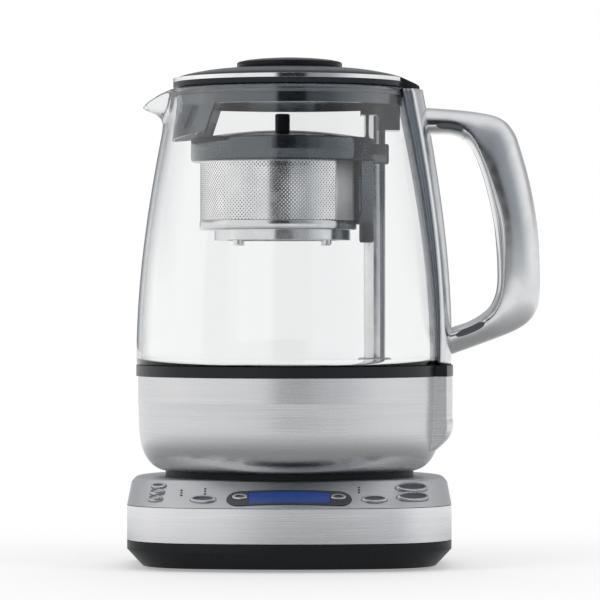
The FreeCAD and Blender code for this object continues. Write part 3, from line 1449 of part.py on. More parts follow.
def make_lid_cap():
    dome = dome_solid(0.0, 0.0)
    lip = rod(LID_R, LID_Z, LIP_TOP_Z)
    body = fused([dome, lip, tongue_solid()])
    hollow = dome_solid(DOME_SHELL, DOME_SHELL).cut(rod(FAR, 0, LID_Z - 1))
    return body.cut(hollow)


def make_lid_trim_ring():
    ring = pipe(LID_R, LID_R - TRIM_WIDTH, LIP_TOP_Z, TRIM_TOP_Z)
    half = TONGUE_HALF_WIDTH + FIT
    return ring.cut(block(0, FAR, -half, half, 0, FAR))


def make_lid_knob():
    edge_z = DOME_Z + KNOB_EDGE / 2
    top = SEAT_Z + KNOB_TOP
    edges = [
        segment(Vector(0, 0, DOME_Z), Vector(KNOB_R - KNOB_EDGE / 2, 0, DOME_Z)),
        segment(Vector(KNOB_R - KNOB_EDGE / 2, 0, DOME_Z), Vector(KNOB_R, 0, edge_z)),
        cap_arc(KNOB_R, edge_z, top),
        segment(Vector(0, 0, top), Vector(0, 0, DOME_Z)),
    ]
    return turned(edges)


def make_lid_skirt():
    low = SEAT_Z + SKIRT_BOTTOM
    skirt = pipe(SKIRT_R, SKIRT_R - SKIRT_WALL, low, LID_Z)
    step = SEAT_Z + BLOCK_STEP_H
    bottom = SEAT_Z + BLOCK_BOTTOM
    roof = SEAT_Z + UNDERPLATE_H - FIT
    clasp = polygon([
        Vector(BLOCK_IN, -BLOCK_HALF_WIDTH, step),
        Vector(BLOCK_STEP_X, -BLOCK_HALF_WIDTH, step),
        Vector(BLOCK_STEP_X, -BLOCK_HALF_WIDTH, bottom),
        Vector(BLOCK_OUT, -BLOCK_HALF_WIDTH, bottom),
        Vector(BLOCK_OUT, -BLOCK_HALF_WIDTH, roof),
        Vector(BLOCK_IN, -BLOCK_HALF_WIDTH, roof),
    ]).extrude(Vector(0, 2 * BLOCK_HALF_WIDTH, 0))
    body = fused([skirt, clasp])
    socket = rod(POST_R + 2 * RUN_GAP, 0, SEAT_Z + POST_TOP + 1.0, POST_X)
    groove = pipe(SKIRT_R + 1, SKIRT_R - SEAL_DEPTH, SEAT_Z + SEAL_H, SEAT_Z + SEAL_H + SEAL_HEIGHT)
    return body.cut(socket).cut(groove)


def make_lid_seal():
    return pipe(SEAL_R, SKIRT_R - SEAL_DEPTH, SEAT_Z + SEAL_H, SEAT_Z + SEAL_H + SEAL_HEIGHT)


def make_lid_underplate():
    z = SEAT_Z + UNDERPLATE_H
    return rod(SKIRT_R - SKIRT_WALL - FIT / 2, z, z + UNDERPLATE)


def make_spout_strainer():
    """Curved apron below the skirt on the spout side, with slanted ends and small holes."""
    low = SEAT_Z + STRAINER_BOTTOM
    top = SEAT_Z + SKIRT_BOTTOM
    apron = pipe(SKIRT_R, SKIRT_R - STRAINER_SHEET, low, top)
    reach = SKIRT_R * math.cos(math.radians(STRAINER_ANGLE))
    slant = (top - low) * 0.36
    keep = polygon([
        Vector(-FAR, -FAR, low - 1),
        Vector(-reach - slant, -FAR, low - 1),
        Vector(-reach, -FAR, top),
        Vector(-reach, -FAR, top + 1),
        Vector(-FAR, -FAR, top + 1),
    ]).extrude(Vector(0, 2 * FAR, 0))
    apron = apron.common(keep)
    cutters = []
    for row in range(STRAINER_ROWS):
        z = low + (top - low) * (row + 0.8) / (STRAINER_ROWS + 0.6)
        shift = STRAINER_PITCH / 2 if row % 2 else 0.0
        for step in range(-STRAINER_COLUMNS, STRAINER_COLUMNS + 1 - row % 2):
            angle = 180.0 + step * STRAINER_PITCH + shift
            side = STRAINER_HOLE
            peg = Part.makeBox(8.0, side, side, Vector(-4.0, -side / 2, -side / 2))
            peg.rotate(Vector(0, 0, 0), X_AXIS, 45)
            peg.translate(Vector(SKIRT_R - STRAINER_SHEET / 2, 0, z))
            peg.rotate(Vector(0, 0, 0), Z_AXIS, angle)
            cutters.append(peg)
    return apron.cut(Part.makeCompound(cutters))


PARTS = {
    "rubber_feet": Part.makeCompound(make_rubber_feet()),
    "base_plinth": fused([make_base_plinth(), make_connector_column()]),
    "base_screws": Part.makeCompound(make_base_screws()),
    "side_band": make_side_band(),
    "top_plate": make_top_plate(),
    "panel_carrier": make_panel_carrier(),
    "display_bezel": make_display_bezel(),
    "display_lens": make_display_lens(),
    "display_module": make_display_module(),
    "indicator_leds": Part.makeCompound(make_indicator_leds()),
    "button_switches": Part.makeCompound(make_button_switches()),
    "control_board": make_control_board(),
    "cord_inlet": make_cord_inlet(),
    "connector_plug": make_connector_plug(),
    "jug_bowl": make_jug_bowl(),
    "jug_base_cover": make_jug_base_cover(),
    "cover_screws": Part.makeCompound(make_cover_screws()),
    "connector_socket": make_connector_socket(),
    "jug_gasket": make_gasket(),
    "heater_plate": make_heater_plate(),
    "heating_element": make_heating_element(),
    "temperature_sensor": make_temperature_sensor(),
    "thermal_cutout": make_thermal_cutout(),
    "glass_body": make_glass_body(),
    "spine_cover": make_spine_cover(),
    "spine_liner": make_spine_liner(),
    "handle_shell": make_handle_shell(),
    "handle_insert": make_handle_insert(),
    "handle_pads": Part.makeCompound(make_handle_pads()),
    "handle_screws": Part.makeCompound(make_handle_screws()),
    "lift_post": make_lift_post(),
    "gear_bracket": make_gear_bracket(),
    "lift_motor": make_lift_motor(),
    "motor_pinion": make_motor_pinion(),
    "lead_screw": make_lead_screw(),
    "screw_gear": make_screw_gear(),
    "lift_magnet": make_lift_magnet(),
    "basket_ring": make_basket_ring(),
    "pod_magnets": Part.makeCompound(magnet_boxes(0.0, 0.0)),
    "basket_wall": make_basket_wall(),
    "basket_floor": make_basket_floor(),
    "foot_ring": make_foot_ring(),
    "basket_lid": make_basket_lid(),
    "basket_lid_knob": make_basket_lid_knob(),
    "lid_cap": make_lid_cap(),
    "lid_trim_ring": make_lid_trim_ring(),
    "lid_knob": make_lid_knob(),
    "lid_skirt": make_lid_skirt(),
    "lid_seal": make_lid_seal(),
    "lid_underplate": make_lid_underplate(),
    "spout_strainer": make_spout_strainer(),
}
for button in BUTTON_PLACES:
    PARTS[button] = make_button(button)

for name, shape in PARTS.items():
    shape.exportStep("parts/" + name + ".step")
    box = shape.BoundBox
    print("%-20s solids %2d valid %s vol %10.1f  x %.1f %.1f  y %.1f %.1f  z %.1f %.1f" % (
        name, len(shape.Solids), shape.isValid(), shape.Volume, box.XMin, box.XMax,
        box.YMin, box.YMax, box.ZMin, box.ZMax))
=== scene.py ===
import math

import bpy
from bpy.props import FloatProperty, FloatVectorProperty, IntProperty, PointerProperty
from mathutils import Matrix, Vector


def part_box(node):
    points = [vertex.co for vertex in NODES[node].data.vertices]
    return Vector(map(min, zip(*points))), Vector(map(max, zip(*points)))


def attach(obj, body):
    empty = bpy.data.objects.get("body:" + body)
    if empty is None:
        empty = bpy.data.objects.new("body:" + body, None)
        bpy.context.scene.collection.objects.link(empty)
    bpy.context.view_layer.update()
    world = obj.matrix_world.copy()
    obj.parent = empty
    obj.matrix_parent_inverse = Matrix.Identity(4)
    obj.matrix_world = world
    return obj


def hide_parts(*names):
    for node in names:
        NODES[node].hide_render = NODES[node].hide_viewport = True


bl_info = {
    "name": "Automatic tea maker",
    "version": (1, 0, 0),
    "blender": (4, 5, 0),
    "location": "3D View > Sidebar > Tea maker",
    "description": "Dresses the tea maker's frame with its steels, glass, plastics and fine meshes",
    "category": "Object",
}

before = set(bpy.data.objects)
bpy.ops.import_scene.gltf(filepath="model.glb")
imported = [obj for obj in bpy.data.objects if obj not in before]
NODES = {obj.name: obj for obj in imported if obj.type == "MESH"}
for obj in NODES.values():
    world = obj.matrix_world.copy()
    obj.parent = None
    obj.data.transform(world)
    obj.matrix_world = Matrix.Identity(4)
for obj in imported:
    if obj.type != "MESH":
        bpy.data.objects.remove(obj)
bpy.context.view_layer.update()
MM = 0.001
ROUND = 2 * math.pi
ROUND_STEPS = 192     # faces round a turned piece
SHARP_DEGREES = 40    # edges steeper than this stay sharp

# places read from the frame, in metres
GLASS_FOOT_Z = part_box("glass_body")[0].z
GLASS_TOP_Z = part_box("glass_body")[1].z
RIM_OVER_SEAT = 202.5
SEAT_MM = GLASS_TOP_Z / MM - RIM_OVER_SEAT   # top of the power base, on which the jug stands
SPINE_LOW_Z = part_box("spine_cover")[0].z
SPINE_HIGH_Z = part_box("spine_cover")[1].z
WALL_LOW_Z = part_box("basket_wall")[0].z
WALL_MID_X = (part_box("basket_floor")[0].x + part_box("basket_floor")[1].x) / 2
RING_HEIGHT = 12.5 * MM
RING_LOW_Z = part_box("basket_ring")[1].z - RING_HEIGHT
STRAINER_LOW_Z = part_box("spout_strainer")[0].z
STRAINER_TOP_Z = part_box("spout_strainer")[1].z
BUTTONS = ["power_button", "start_button", "strength_button", "plus_button", "minus_button",
           "tea_type_button", "clock_button", "timer_button", "basket_button"]


# ---------------------------------------------------------------- settings
class TeamakerStageSettings(bpy.types.PropertyGroup):
    camera_x: FloatProperty(name="Camera side step", description="How far the camera stands to the handle side",
                            default=5.5 * MM, unit="LENGTH")
    camera_y: FloatProperty(name="Camera distance", description="Camera's distance in front of the jug's axis",
                            default=2100 * MM, unit="LENGTH")
    camera_z: FloatProperty(name="Camera height", description="Height of the level camera",
                            default=137.7 * MM, unit="LENGTH")
    lens: FloatProperty(name="Lens", description="Focal length in millimetres on a 36 mm sensor", default=240.0)
    room_light: FloatProperty(name="Room light", description="Strength of the even light from all round",
                              default=0.78, min=0.0)
    floor_color: FloatVectorProperty(name="Floor", description="Colour of the floor", subtype="COLOR",
                                     default=(0.92, 0.92, 0.92), min=0, max=1)


class TeamakerSteelSettings(bpy.types.PropertyGroup):
    brushed_color: FloatVectorProperty(name="Brushed steel", description="Colour of the bowl and side band",
                                       subtype="COLOR", default=(0.66, 0.665, 0.68), min=0, max=1)
    polished_color: FloatVectorProperty(name="Polished steel", description="Colour of the spine and the post",
                                        subtype="COLOR", default=(0.72, 0.73, 0.74), min=0, max=1)
    brushing: FloatProperty(name="Brushing", description="Depth of the brushed lines", default=0.22, min=0, max=1)


class TeamakerPlasticSettings(bpy.types.PropertyGroup):
    grey_color: FloatVectorProperty(name="Grey plastic", description="Colour of the basket ring and lid skirt",
                                    subtype="COLOR", default=(0.02, 0.027, 0.036), min=0, max=1)
    black_color: FloatVectorProperty(name="Black plastic", description="Colour of the plinth and the gasket",
                                     subtype="COLOR", default=(0.007, 0.009, 0.012), min=0, max=1)
    cap_color: FloatVectorProperty(name="Lid cap", description="Colour of the smoky lid cap", subtype="COLOR",
                                   default=(0.02, 0.023, 0.028), min=0, max=1)


class TeamakerGlassSettings(bpy.types.PropertyGroup):
    wall: FloatProperty(name="Glass wall", description="Thickness of the glass", default=2.2 * MM, unit="LENGTH")
    spout_half_angle: FloatProperty(name="Spout half angle", description="Half of the arc that the spout takes up",
                                    default=math.radians(19.0), unit="ROTATION")
    spout_drop: FloatProperty(name="Spout drop", description="How far the spout's tip lies below the rim",
                              default=8.8 * MM, unit="LENGTH")
    edge_color: FloatVectorProperty(name="Glass edge", description="Colour that the glass takes seen along its wall",
                                    subtype="COLOR", default=(0.1, 0.12, 0.14), min=0, max=1)


class TeamakerBasketSettings(bpy.types.PropertyGroup):
    hole_columns: IntProperty(name="Hole columns", description="Holes round the whole basket wall", default=128)
    hole_share: FloatProperty(name="Open share", description="Width of a hole as a share of its cell", default=0.55,
                              min=0.1, max=0.9)
    plain_angle: FloatProperty(name="Plain half angle", description="Half of the arc beside the post with no holes",
                               default=math.radians(41.0), unit="ROTATION")
    sheet: FloatProperty(name="Sheet", description="Thickness of the perforated sheet", default=0.5 * MM,
                         unit="LENGTH")


class TeamakerPanelSettings(bpy.types.PropertyGroup):
    display_color: FloatVectorProperty(name="Display", description="Colour of the lit display", subtype="COLOR",
                                       default=(0.008, 0.035, 0.17), min=0, max=1)
    display_glow: FloatProperty(name="Display glow", description="Strength of the display's own light",
                                default=1.0, min=0.0)


# ---------------------------------------------------------------- node helpers
def new_material(name):
    """An empty material with one Principled shader; returns the material and the shader."""
    material = bpy.data.materials.new(name)
    material.use_nodes = True
    tree = material.node_tree
    tree.nodes.clear()
    output = tree.nodes.new("ShaderNodeOutputMaterial")
    shader = tree.nodes.new("ShaderNodeBsdfPrincipled")
    tree.links.new(shader.outputs["BSDF"], output.inputs["Surface"])
    return material, shader


def join(tree, source, target):
    tree.links.new(source, target)


def math_node(tree, operation, first, second=None):
    node = tree.nodes.new("ShaderNodeMath")
    node.operation = operation
    for index, value in enumerate((first, second)):
        if value is None:
            continue
        if isinstance(value, (int, float)):
            node.inputs[index].default_value = value
        else:
            join(tree, value, node.inputs[index])
    return node.outputs[0]


def map_range(tree, value, low, high, to_low, to_high):
    node = tree.nodes.new("ShaderNodeMapRange")
    node.clamp = True
    join(tree, value, node.inputs["Value"])
    for name, number in (("From Min", low), ("From Max", high), ("To Min", to_low), ("To Max", to_high)):
        if isinstance(number, (int, float)):
            node.inputs[name].default_value = number
        else:
            join(tree, number, node.inputs[name])
    return node.outputs["Result"]


def noise_node(tree, vector, scale, detail, roughness=0.5):
    node = tree.nodes.new("ShaderNodeTexNoise")
    node.inputs["Scale"].default_value = scale
    node.inputs["Detail"].default_value = detail
    node.inputs["Roughness"].default_value = roughness
    join(tree, vector, node.inputs["Vector"])
    return node.outputs["Fac"]


def times(tree, first, second):
    return math_node(tree, "MULTIPLY", first, second)


def split_xyz(tree, vector):
    node = tree.nodes.new("ShaderNodeSeparateXYZ")
    join(tree, vector, node.inputs[0])
    return node.outputs["X"], node.outputs["Y"], node.outputs["Z"]


def combine_xyz(tree, *parts):
    node = tree.nodes.new("ShaderNodeCombineXYZ")
    for part, socket in zip(parts, node.inputs):
        join(tree, part, socket)
    return node.outputs[0]


def vector_length(tree, vector):
    node = tree.nodes.new("ShaderNodeVectorMath")
    node.operation = "LENGTH"
    join(tree, vector, node.inputs[0])
    return node.outputs["Value"]


def mix_colors(tree, factor, first, second):
    """Mix of two colours, each a tuple or a socket."""
    node = tree.nodes.new("ShaderNodeMix")
    node.data_type = "RGBA"
    join(tree, factor, node.inputs["Factor"])
    for name, color in (("A", first), ("B", second)):
        if isinstance(color, tuple):
            node.inputs[name].default_value = color
        else:
            join(tree, color, node.inputs[name])
    return node.outputs["Result"]


def new_group(name, inputs, outputs):
    """A shader node group with float or vector sockets; returns the tree and its two end nodes."""
    group = bpy.data.node_groups.new(name, "ShaderNodeTree")
    for socket, kind, value in inputs:
        made = group.interface.new_socket(socket, in_out="INPUT", socket_type=kind)
        if value is not None:
            made.default_value = value
    for socket, kind in outputs:
        group.interface.new_socket(socket, in_out="OUTPUT", socket_type=kind)
    start = group.nodes.new("NodeGroupInput")
    end = group.nodes.new("NodeGroupOutput")
    return group, start, end


MEAN_RADIUS = 0.08   # radius that turns an angle into a length, in metres


def brushed_lines_group():
    """Fine scratches: round an upright axis or straight along X, and on level faces in rings or along X."""
    group, start, end = new_group(
        "brushed_lines",
        [("Position", "NodeSocketVector", None), ("Round", "NodeSocketFloat", 1.0),
         ("Across", "NodeSocketFloat", 2600.0), ("Along", "NodeSocketFloat", 26.0),
         ("Level", "NodeSocketFloat", 0.0)],
        [("Lines", "NodeSocketFloat"), ("Streaks", "NodeSocketFloat")])
    x, y, z = split_xyz(group, start.outputs["Position"])
    across, along, level = (start.outputs[name] for name in ("Across", "Along", "Level"))
    arc = times(group, math_node(group, "ARCTAN2", y, x), MEAN_RADIUS)
    lifted = times(group, z, across)
    rings = times(group, times(group, vector_length(group, combine_xyz(group, x, y)), level), across)
    around = combine_xyz(group, times(group, arc, along), rings, lifted)
    extra = math_node(group, "SUBTRACT", across, along)
    deep = math_node(group, "ADD", along, times(group, extra, level))
    straight = combine_xyz(group, times(group, x, along), times(group, y, deep), lifted)
    pick = group.nodes.new("ShaderNodeMix")
    pick.data_type = "VECTOR"
    join(group, start.outputs["Round"], pick.inputs["Factor"])
    join(group, straight, pick.inputs["A"])
    join(group, around, pick.inputs["B"])
    fine = noise_node(group, pick.outputs["Result"], 1.0, 3.0, 0.65)
    broad = noise_node(group, pick.outputs["Result"], 0.18, 2.0)
    join(group, map_range(group, fine, 0.25, 0.75, 0.0, 1.0), end.inputs["Lines"])
    join(group, map_range(group, broad, 0.3, 0.7, 0.0, 1.0), end.inputs["Streaks"])
    return group


def moulded_grain_group():
    """Fine spark-eroded grain of a moulding, with slow swirls of the melt."""
    group, start, end = new_group(
        "moulded_grain",
        [("Position", "NodeSocketVector", None), ("Grain size", "NodeSocketFloat", 2400.0)],
        [("Grain", "NodeSocketFloat"), ("Swirl", "NodeSocketFloat")])
    texture = group.nodes.new("ShaderNodeTexNoise")
    texture.inputs["Detail"].default_value = 2.0
    join(group, start.outputs["Position"], texture.inputs["Vector"])
    join(group, start.outputs["Grain size"], texture.inputs["Scale"])
    join(group, texture.outputs["Fac"], end.inputs["Grain"])
    swirl = noise_node(group, start.outputs["Position"], 28.0, 2.0)
    join(group, map_range(group, swirl, 0.3, 0.7, 0.0, 1.0), end.inputs["Swirl"])
    return group


def handling_marks_group():
    """Faint smudges left by wiping and handling."""
    group, start, end = new_group(
        "handling_marks",
        [("Position", "NodeSocketVector", None), ("Amount", "NodeSocketFloat", 0.5)],
        [("Marks", "NodeSocketFloat")])
    smear = noise_node(group, start.outputs["Position"], 32.0, 4.0, 0.6)
    prints = noise_node(group, start.outputs["Position"], 150.0, 2.0)
    spread = map_range(group, times(group, smear, prints), 0.18, 0.4, 0.0, 1.0)
    join(group, times(group, spread, start.outputs["Amount"]), end.inputs["Marks"])
    return group


GROUPS = {}


def shared_group(name):
    makers = {"brushed_lines": brushed_lines_group, "moulded_grain": moulded_grain_group,
              "handling_marks": handling_marks_group}
    if name not in GROUPS:
        GROUPS[name] = makers[name]()
    return GROUPS[name]


def place_group(tree, name, position, **values):
    node = tree.nodes.new("ShaderNodeGroup")
    node.node_tree = shared_group(name)
    join(tree, position, node.inputs["Position"])
    for key, value in values.items():
        node.inputs[key.replace("_", " ").capitalize()].default_value = value
    return node


def object_position(tree):
    return tree.nodes.new("ShaderNodeTexCoord").outputs["Object"]


def bump(tree, height, strength, distance, shader, rounding=0.0):
    node = tree.nodes.new("ShaderNodeBump")
    node.inputs["Strength"].default_value = strength
    node.inputs["Distance"].default_value = distance
    join(tree, height, node.inputs["Height"])
    if rounding > 0:
        soft = tree.nodes.new("ShaderNodeBevel")
        soft.samples = 4
        soft.inputs["Radius"].default_value = rounding
        join(tree, soft.outputs["Normal"], node.inputs["Normal"])
    join(tree, node.outputs["Normal"], shader.inputs["Normal"])


def tone(tree, color, dark_share, mask, shader):
    """Base colour that falls to dark_share of itself where the mask is full."""
    dark = [c * dark_share for c in color]
    join(tree, mix_colors(tree, mask, (*color, 1.0), (*dark, 1.0)), shader.inputs["Base Color"])


def marked_roughness(tree, marks, low, high, shader):
    join(tree, map_range(tree, marks.outputs["Marks"], 0.0, 1.0, low, high), shader.inputs["Roughness"])


# ---------------------------------------------------------------- materials
def brushed_steel(name, color, low, high, round_share, across=2600.0, along=26.0, depth=0.35,
                  rounding=0.25 * MM, level=0.0):
    material, shader = new_material(name)
    tree = material.node_tree
    shader.inputs["Metallic"].default_value = 1.0
    position = object_position(tree)
    lines = place_group(tree, "brushed_lines", position, round=round_share, across=across, along=along,
                        level=level)
    marks = place_group(tree, "handling_marks", position, amount=0.15)
    tone(tree, color, 0.95, lines.outputs["Streaks"], shader)
    spread = map_range(tree, lines.outputs["Lines"], 0.0, 1.0, low, high)
    smudged = math_node(tree, "ADD", spread, times(tree, marks.outputs["Marks"], 0.06))
    join(tree, smudged, shader.inputs["Roughness"])
    bump(tree, lines.outputs["Lines"], depth, 0.02 * MM, shader, rounding)
    return material


def polished_steel(name, color, roughness, rounding=0.3 * MM, metallic=1.0):
    material, shader = new_material(name)
    tree = material.node_tree
    shader.inputs["Metallic"].default_value = metallic
    position = object_position(tree)
    marks = place_group(tree, "handling_marks", position, amount=1.0)
    tone(tree, color, 0.93, marks.outputs["Marks"], shader)
    marked_roughness(tree, marks, roughness, roughness + 0.07, shader)
    wave = noise_node(tree, position, 90.0, 1.0)
    bump(tree, wave, 0.1, 0.05 * MM, shader, rounding)
    return material


def moulded_plastic(name, color, roughness, grain=0.15, rounding=0.3 * MM, size=2400.0,
                    specular=None, metallic=0.0, ior=1.5, tint=(1.0, 1.0, 1.0)):
    material, shader = new_material(name)
    shader.inputs["Metallic"].default_value = metallic
    shader.inputs["IOR"].default_value = ior
    shader.inputs["Specular Tint"].default_value = (*tint, 1)
    tree = material.node_tree
    position = object_position(tree)
    texture = place_group(tree, "moulded_grain", position, grain_size=size)
    marks = place_group(tree, "handling_marks", position, amount=0.7)
    tone(tree, color, 0.88, texture.outputs["Swirl"], shader)
    marked_roughness(tree, marks, roughness, roughness + 0.1, shader)
    if specular is not None:
        shader.inputs["Specular IOR Level"].default_value = specular
    bump(tree, texture.outputs["Grain"], grain, 0.02 * MM, shader, rounding)
    return material


def clear_glass(name, edge_color):
    """Clear glass that takes a grey tone where the view runs along its wall."""
    material, shader = new_material(name)
    tree = material.node_tree
    shader.inputs["Transmission Weight"].default_value = 1.0
    shader.inputs["IOR"].default_value = 1.45
    shader.inputs["Metallic"].default_value = 0.0
    position = object_position(tree)
    marks = place_group(tree, "handling_marks", position, amount=1.0)
    marked_roughness(tree, marks, 0.0, 0.02, shader)
    facing = tree.nodes.new("ShaderNodeLayerWeight")
    facing.inputs["Blend"].default_value = 0.5
    ramp = tree.nodes.new("ShaderNodeValToRGB")
    ramp.color_ramp.elements[0].position = 0.62
    ramp.color_ramp.elements[0].color = (0.945, 0.95, 0.952, 1)
    ramp.color_ramp.elements[1].position = 0.97
    ramp.color_ramp.elements[1].color = (*edge_color, 1)
    join(tree, facing.outputs["Facing"], ramp.inputs["Fac"])
    join(tree, ramp.outputs["Color"], shader.inputs["Base Color"])
    wave = noise_node(tree, position, 26.0, 1.0)
    bump(tree, wave, 0.06, 0.2 * MM, shader)
    return material


def rubber(name, color):
    return moulded_plastic(name, color, 0.55, grain=0.35, rounding=0.4 * MM, size=1500.0)


def lit_display(name, settings):
    """Deep blue window with a faint pixel grid, which glows for the camera only."""
    material, shader = new_material(name)
    tree = material.node_tree
    x, _, z = split_xyz(tree, object_position(tree))
    column = math_node(tree, "SINE", times(tree, x, 9000.0))
    row = math_node(tree, "SINE", times(tree, z, 12000.0))
    grid = map_range(tree, times(tree, column, row), -1.0, 1.0, 0.0, 1.0)
    lit = settings.display_color
    tone(tree, [c * 0.2 for c in lit], 0.8, grid, shader)
    cells = mix_colors(tree, grid, (*lit, 1), (*[c * 0.8 for c in lit], 1))
    camera_ray = tree.nodes.new("ShaderNodeLightPath").outputs["Is Camera Ray"]
    join(tree, mix_colors(tree, camera_ray, (0, 0, 0, 1), cells), shader.inputs["Emission Color"])
    shader.inputs["Emission Strength"].default_value = settings.display_glow
    shader.inputs["Roughness"].default_value = 0.12
    return material


def painted(name, color, roughness):
    return moulded_plastic(name, color, roughness, grain=0.05, rounding=0.1 * MM)


MATERIALS = {}


def recipe(maker, *values, **named):
    """A maker of materials with all but the name filled in."""
    return lambda name: maker(name, *values, **named)


def finish_named(name):
    """The material of a finish, made the first time that it is asked for."""
    if name in MATERIALS:
        return MATERIALS[name]
    steel = bpy.context.scene.teamaker_steel
    plastic = bpy.context.scene.teamaker_plastic
    glass = bpy.context.scene.teamaker_glass
    panel = bpy.context.scene.teamaker_panel
    brushed = steel.brushed_color
    polished = steel.polished_color
    makers = {
        "bowl_steel": recipe(brushed_steel, brushed, 0.2, 0.34, 1.0, depth=steel.brushing),
        "band_steel": recipe(brushed_steel, [min(c * 1.35, 0.95) for c in brushed], 0.22, 0.36, 0.0,
                             depth=steel.brushing * 0.6),
        "top_steel": recipe(brushed_steel, brushed, 0.28, 0.4, 0.0, depth=0.2, rounding=0.4 * MM, level=1.0),
        "spine_steel": recipe(polished_steel, polished, 0.16, rounding=0.0),
        "handle_steel": recipe(polished_steel, polished, 0.16, rounding=0.0),
        "strip_steel": recipe(polished_steel, polished, 0.05, rounding=0.0),
        "post_steel": recipe(polished_steel, polished, 0.08),
        "floor_steel": recipe(brushed_steel, brushed, 0.16, 0.3, 1.0, depth=0.2, level=1.0),
        "mesh_steel": recipe(polished_steel, (0.9, 0.905, 0.91), 0.1, rounding=0.0),
        "foot_steel": recipe(polished_steel, polished, 0.12),
        # near-white, barely metallic finish for the plain steel panel beside the post: a painted highlight
        "panel_steel": recipe(polished_steel, (0.95, 0.955, 0.96), 0.3, rounding=0.0, metallic=0.2),
        # dark steel for the buttons' hollows: a painted dark reflection
        "button_dish": recipe(polished_steel, (0.12, 0.13, 0.15), 0.2, rounding=0.0),
        "chrome": recipe(polished_steel, (0.78, 0.79, 0.8), 0.07, rounding=0.2 * MM),
        "button_metal": recipe(polished_steel, (0.55, 0.56, 0.58), 0.12, rounding=0.2 * MM),
        "zinc_steel": recipe(brushed_steel, (0.5, 0.5, 0.51), 0.3, 0.45, 0.0, rounding=0.1 * MM),
        "cast_aluminium": recipe(brushed_steel, (0.55, 0.55, 0.56), 0.45, 0.6, 1.0, across=900.0, along=300.0),
        "magnet_grey": recipe(painted, (0.12, 0.12, 0.13), 0.4),
        "plinth_black": recipe(moulded_plastic, plastic.black_color, 0.22, grain=0.05, specular=0.25),
        "gasket_black": recipe(moulded_plastic, plastic.black_color, 0.3, grain=0.05, specular=0.25),
        "cover_black": recipe(moulded_plastic, plastic.black_color, 0.45, specular=0.15),
        "foot_rubber": recipe(rubber, (0.02, 0.02, 0.022)),
        "seal_rubber": recipe(rubber, (0.2, 0.21, 0.23)),
        "ring_grey": recipe(moulded_plastic, plastic.grey_color, 0.07, grain=0.0, rounding=0.0, ior=1.95,
                            tint=(0.78, 0.9, 1.0)),
        "skirt_grey": recipe(moulded_plastic, plastic.grey_color, 0.07, grain=0.0, ior=1.95, tint=(0.78, 0.9, 1.0)),
        "liner_grey": recipe(moulded_plastic, (0.3, 0.33, 0.37), 0.2, grain=0.05, metallic=0.85, rounding=0.0),
        # dark grey pads on the handle's arms: painted dark reflections
        "pad_grey": recipe(moulded_plastic, (0.06, 0.07, 0.08), 0.35),
        "cap_smoke": recipe(moulded_plastic, plastic.cap_color, 0.24, grain=0.03, specular=0.1),
        "knob_black": recipe(moulded_plastic, (0.012, 0.014, 0.017), 0.24, grain=0.03, specular=0.1),
        "bezel_grey": recipe(moulded_plastic, (0.03, 0.036, 0.043), 0.18, grain=0.03),
        "inner_grey": recipe(moulded_plastic, (0.2, 0.2, 0.21), 0.5),
        "board_green": recipe(painted, (0.02, 0.16, 0.06), 0.4),
        "gear_nylon": recipe(moulded_plastic, (0.75, 0.74, 0.68), 0.4),
        "led_dark": recipe(painted, (0.035, 0.008, 0.01), 0.15),
        "display_blue": recipe(lit_display, panel),
        "clear_glass": recipe(clear_glass, glass.edge_color),
    }
    MATERIALS[name] = makers[name](name)
    return MATERIALS[name]


def dress(finish, *names):
    """Give the frame's own nodes a finish."""
    for name in names:
        mesh = NODES[name].data
        mesh.materials.clear()
        mesh.materials.append(finish_named(finish))


def paint_dark_dish_reflection(mesh):
    """Give the hollow in a button's top face a dark steel finish: a painted dark reflection."""
    up = Vector((0, 0, 0))
    for polygon in mesh.polygons:
        if polygon.normal.z > 0.8 and polygon.normal.y < -0.3:
            up += polygon.normal * polygon.area
    up.normalize()
    top = max(up.dot(vertex.co) for vertex in mesh.vertices)
    mesh.materials.append(finish_named("button_dish"))
    for polygon in mesh.polygons:
        depths = [top - up.dot(mesh.vertices[index].co) for index in polygon.vertices]
        if polygon.normal.dot(up) > 0.5 and max(depths) < 0.8 * MM and sum(depths) / len(depths) > 0.22 * MM:
            polygon.material_index = 1


# ---------------------------------------------------------------- mesh helpers
def make_piece(name, points, faces, finish, body, slot, replaced=(), smooth=True):
    """A mesh in the row frame that rides on a body and stands for the named nodes."""
    mesh = bpy.data.meshes.new(name)
    mesh.from_pydata(points, [], faces)
    mesh.update()
    piece = bpy.data.objects.new(name, mesh)
    bpy.context.scene.collection.objects.link(piece)
    mesh.materials.append(finish_named(finish))
    if smooth:
        mesh.shade_smooth()
    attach(piece, body)
    if replaced:
        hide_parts(*replaced)
    return piece


def skin_rings(rings):
    """Faces over a row of equal closed rings, with both ends closed."""
    points = [point for ring in rings for point in ring]
    count = len(rings[0])
    faces = []
    for row in range(len(rings) - 1):
        for step in range(count):
            after = (step + 1) % count
            here = row * count
            faces.append((here + step, here + after, here + count + after, here + count + step))
    faces.append(tuple(reversed(range(count))))
    faces.append(tuple((len(rings) - 1) * count + step for step in range(count)))
    return points, faces


def sweep_faces(turns, count, whole=True):
    """Faces between equal sections that follow each other round an axis."""
    faces = []
    for step in range(turns if whole else turns - 1):
        here = step * count
        there = ((step + 1) % turns) * count
        for index in range(count):
            after = (index + 1) % count
            faces.append((here + index, there + index, there + after, here + after))
    return faces


def sharpen(piece, degrees=SHARP_DEGREES):
    piece.data.set_sharp_from_angle(angle=math.radians(degrees))


def thicken(piece, thickness):
    solid = piece.modifiers.new("sheet", "SOLIDIFY")
    solid.thickness = thickness
    solid.offset = -1.0


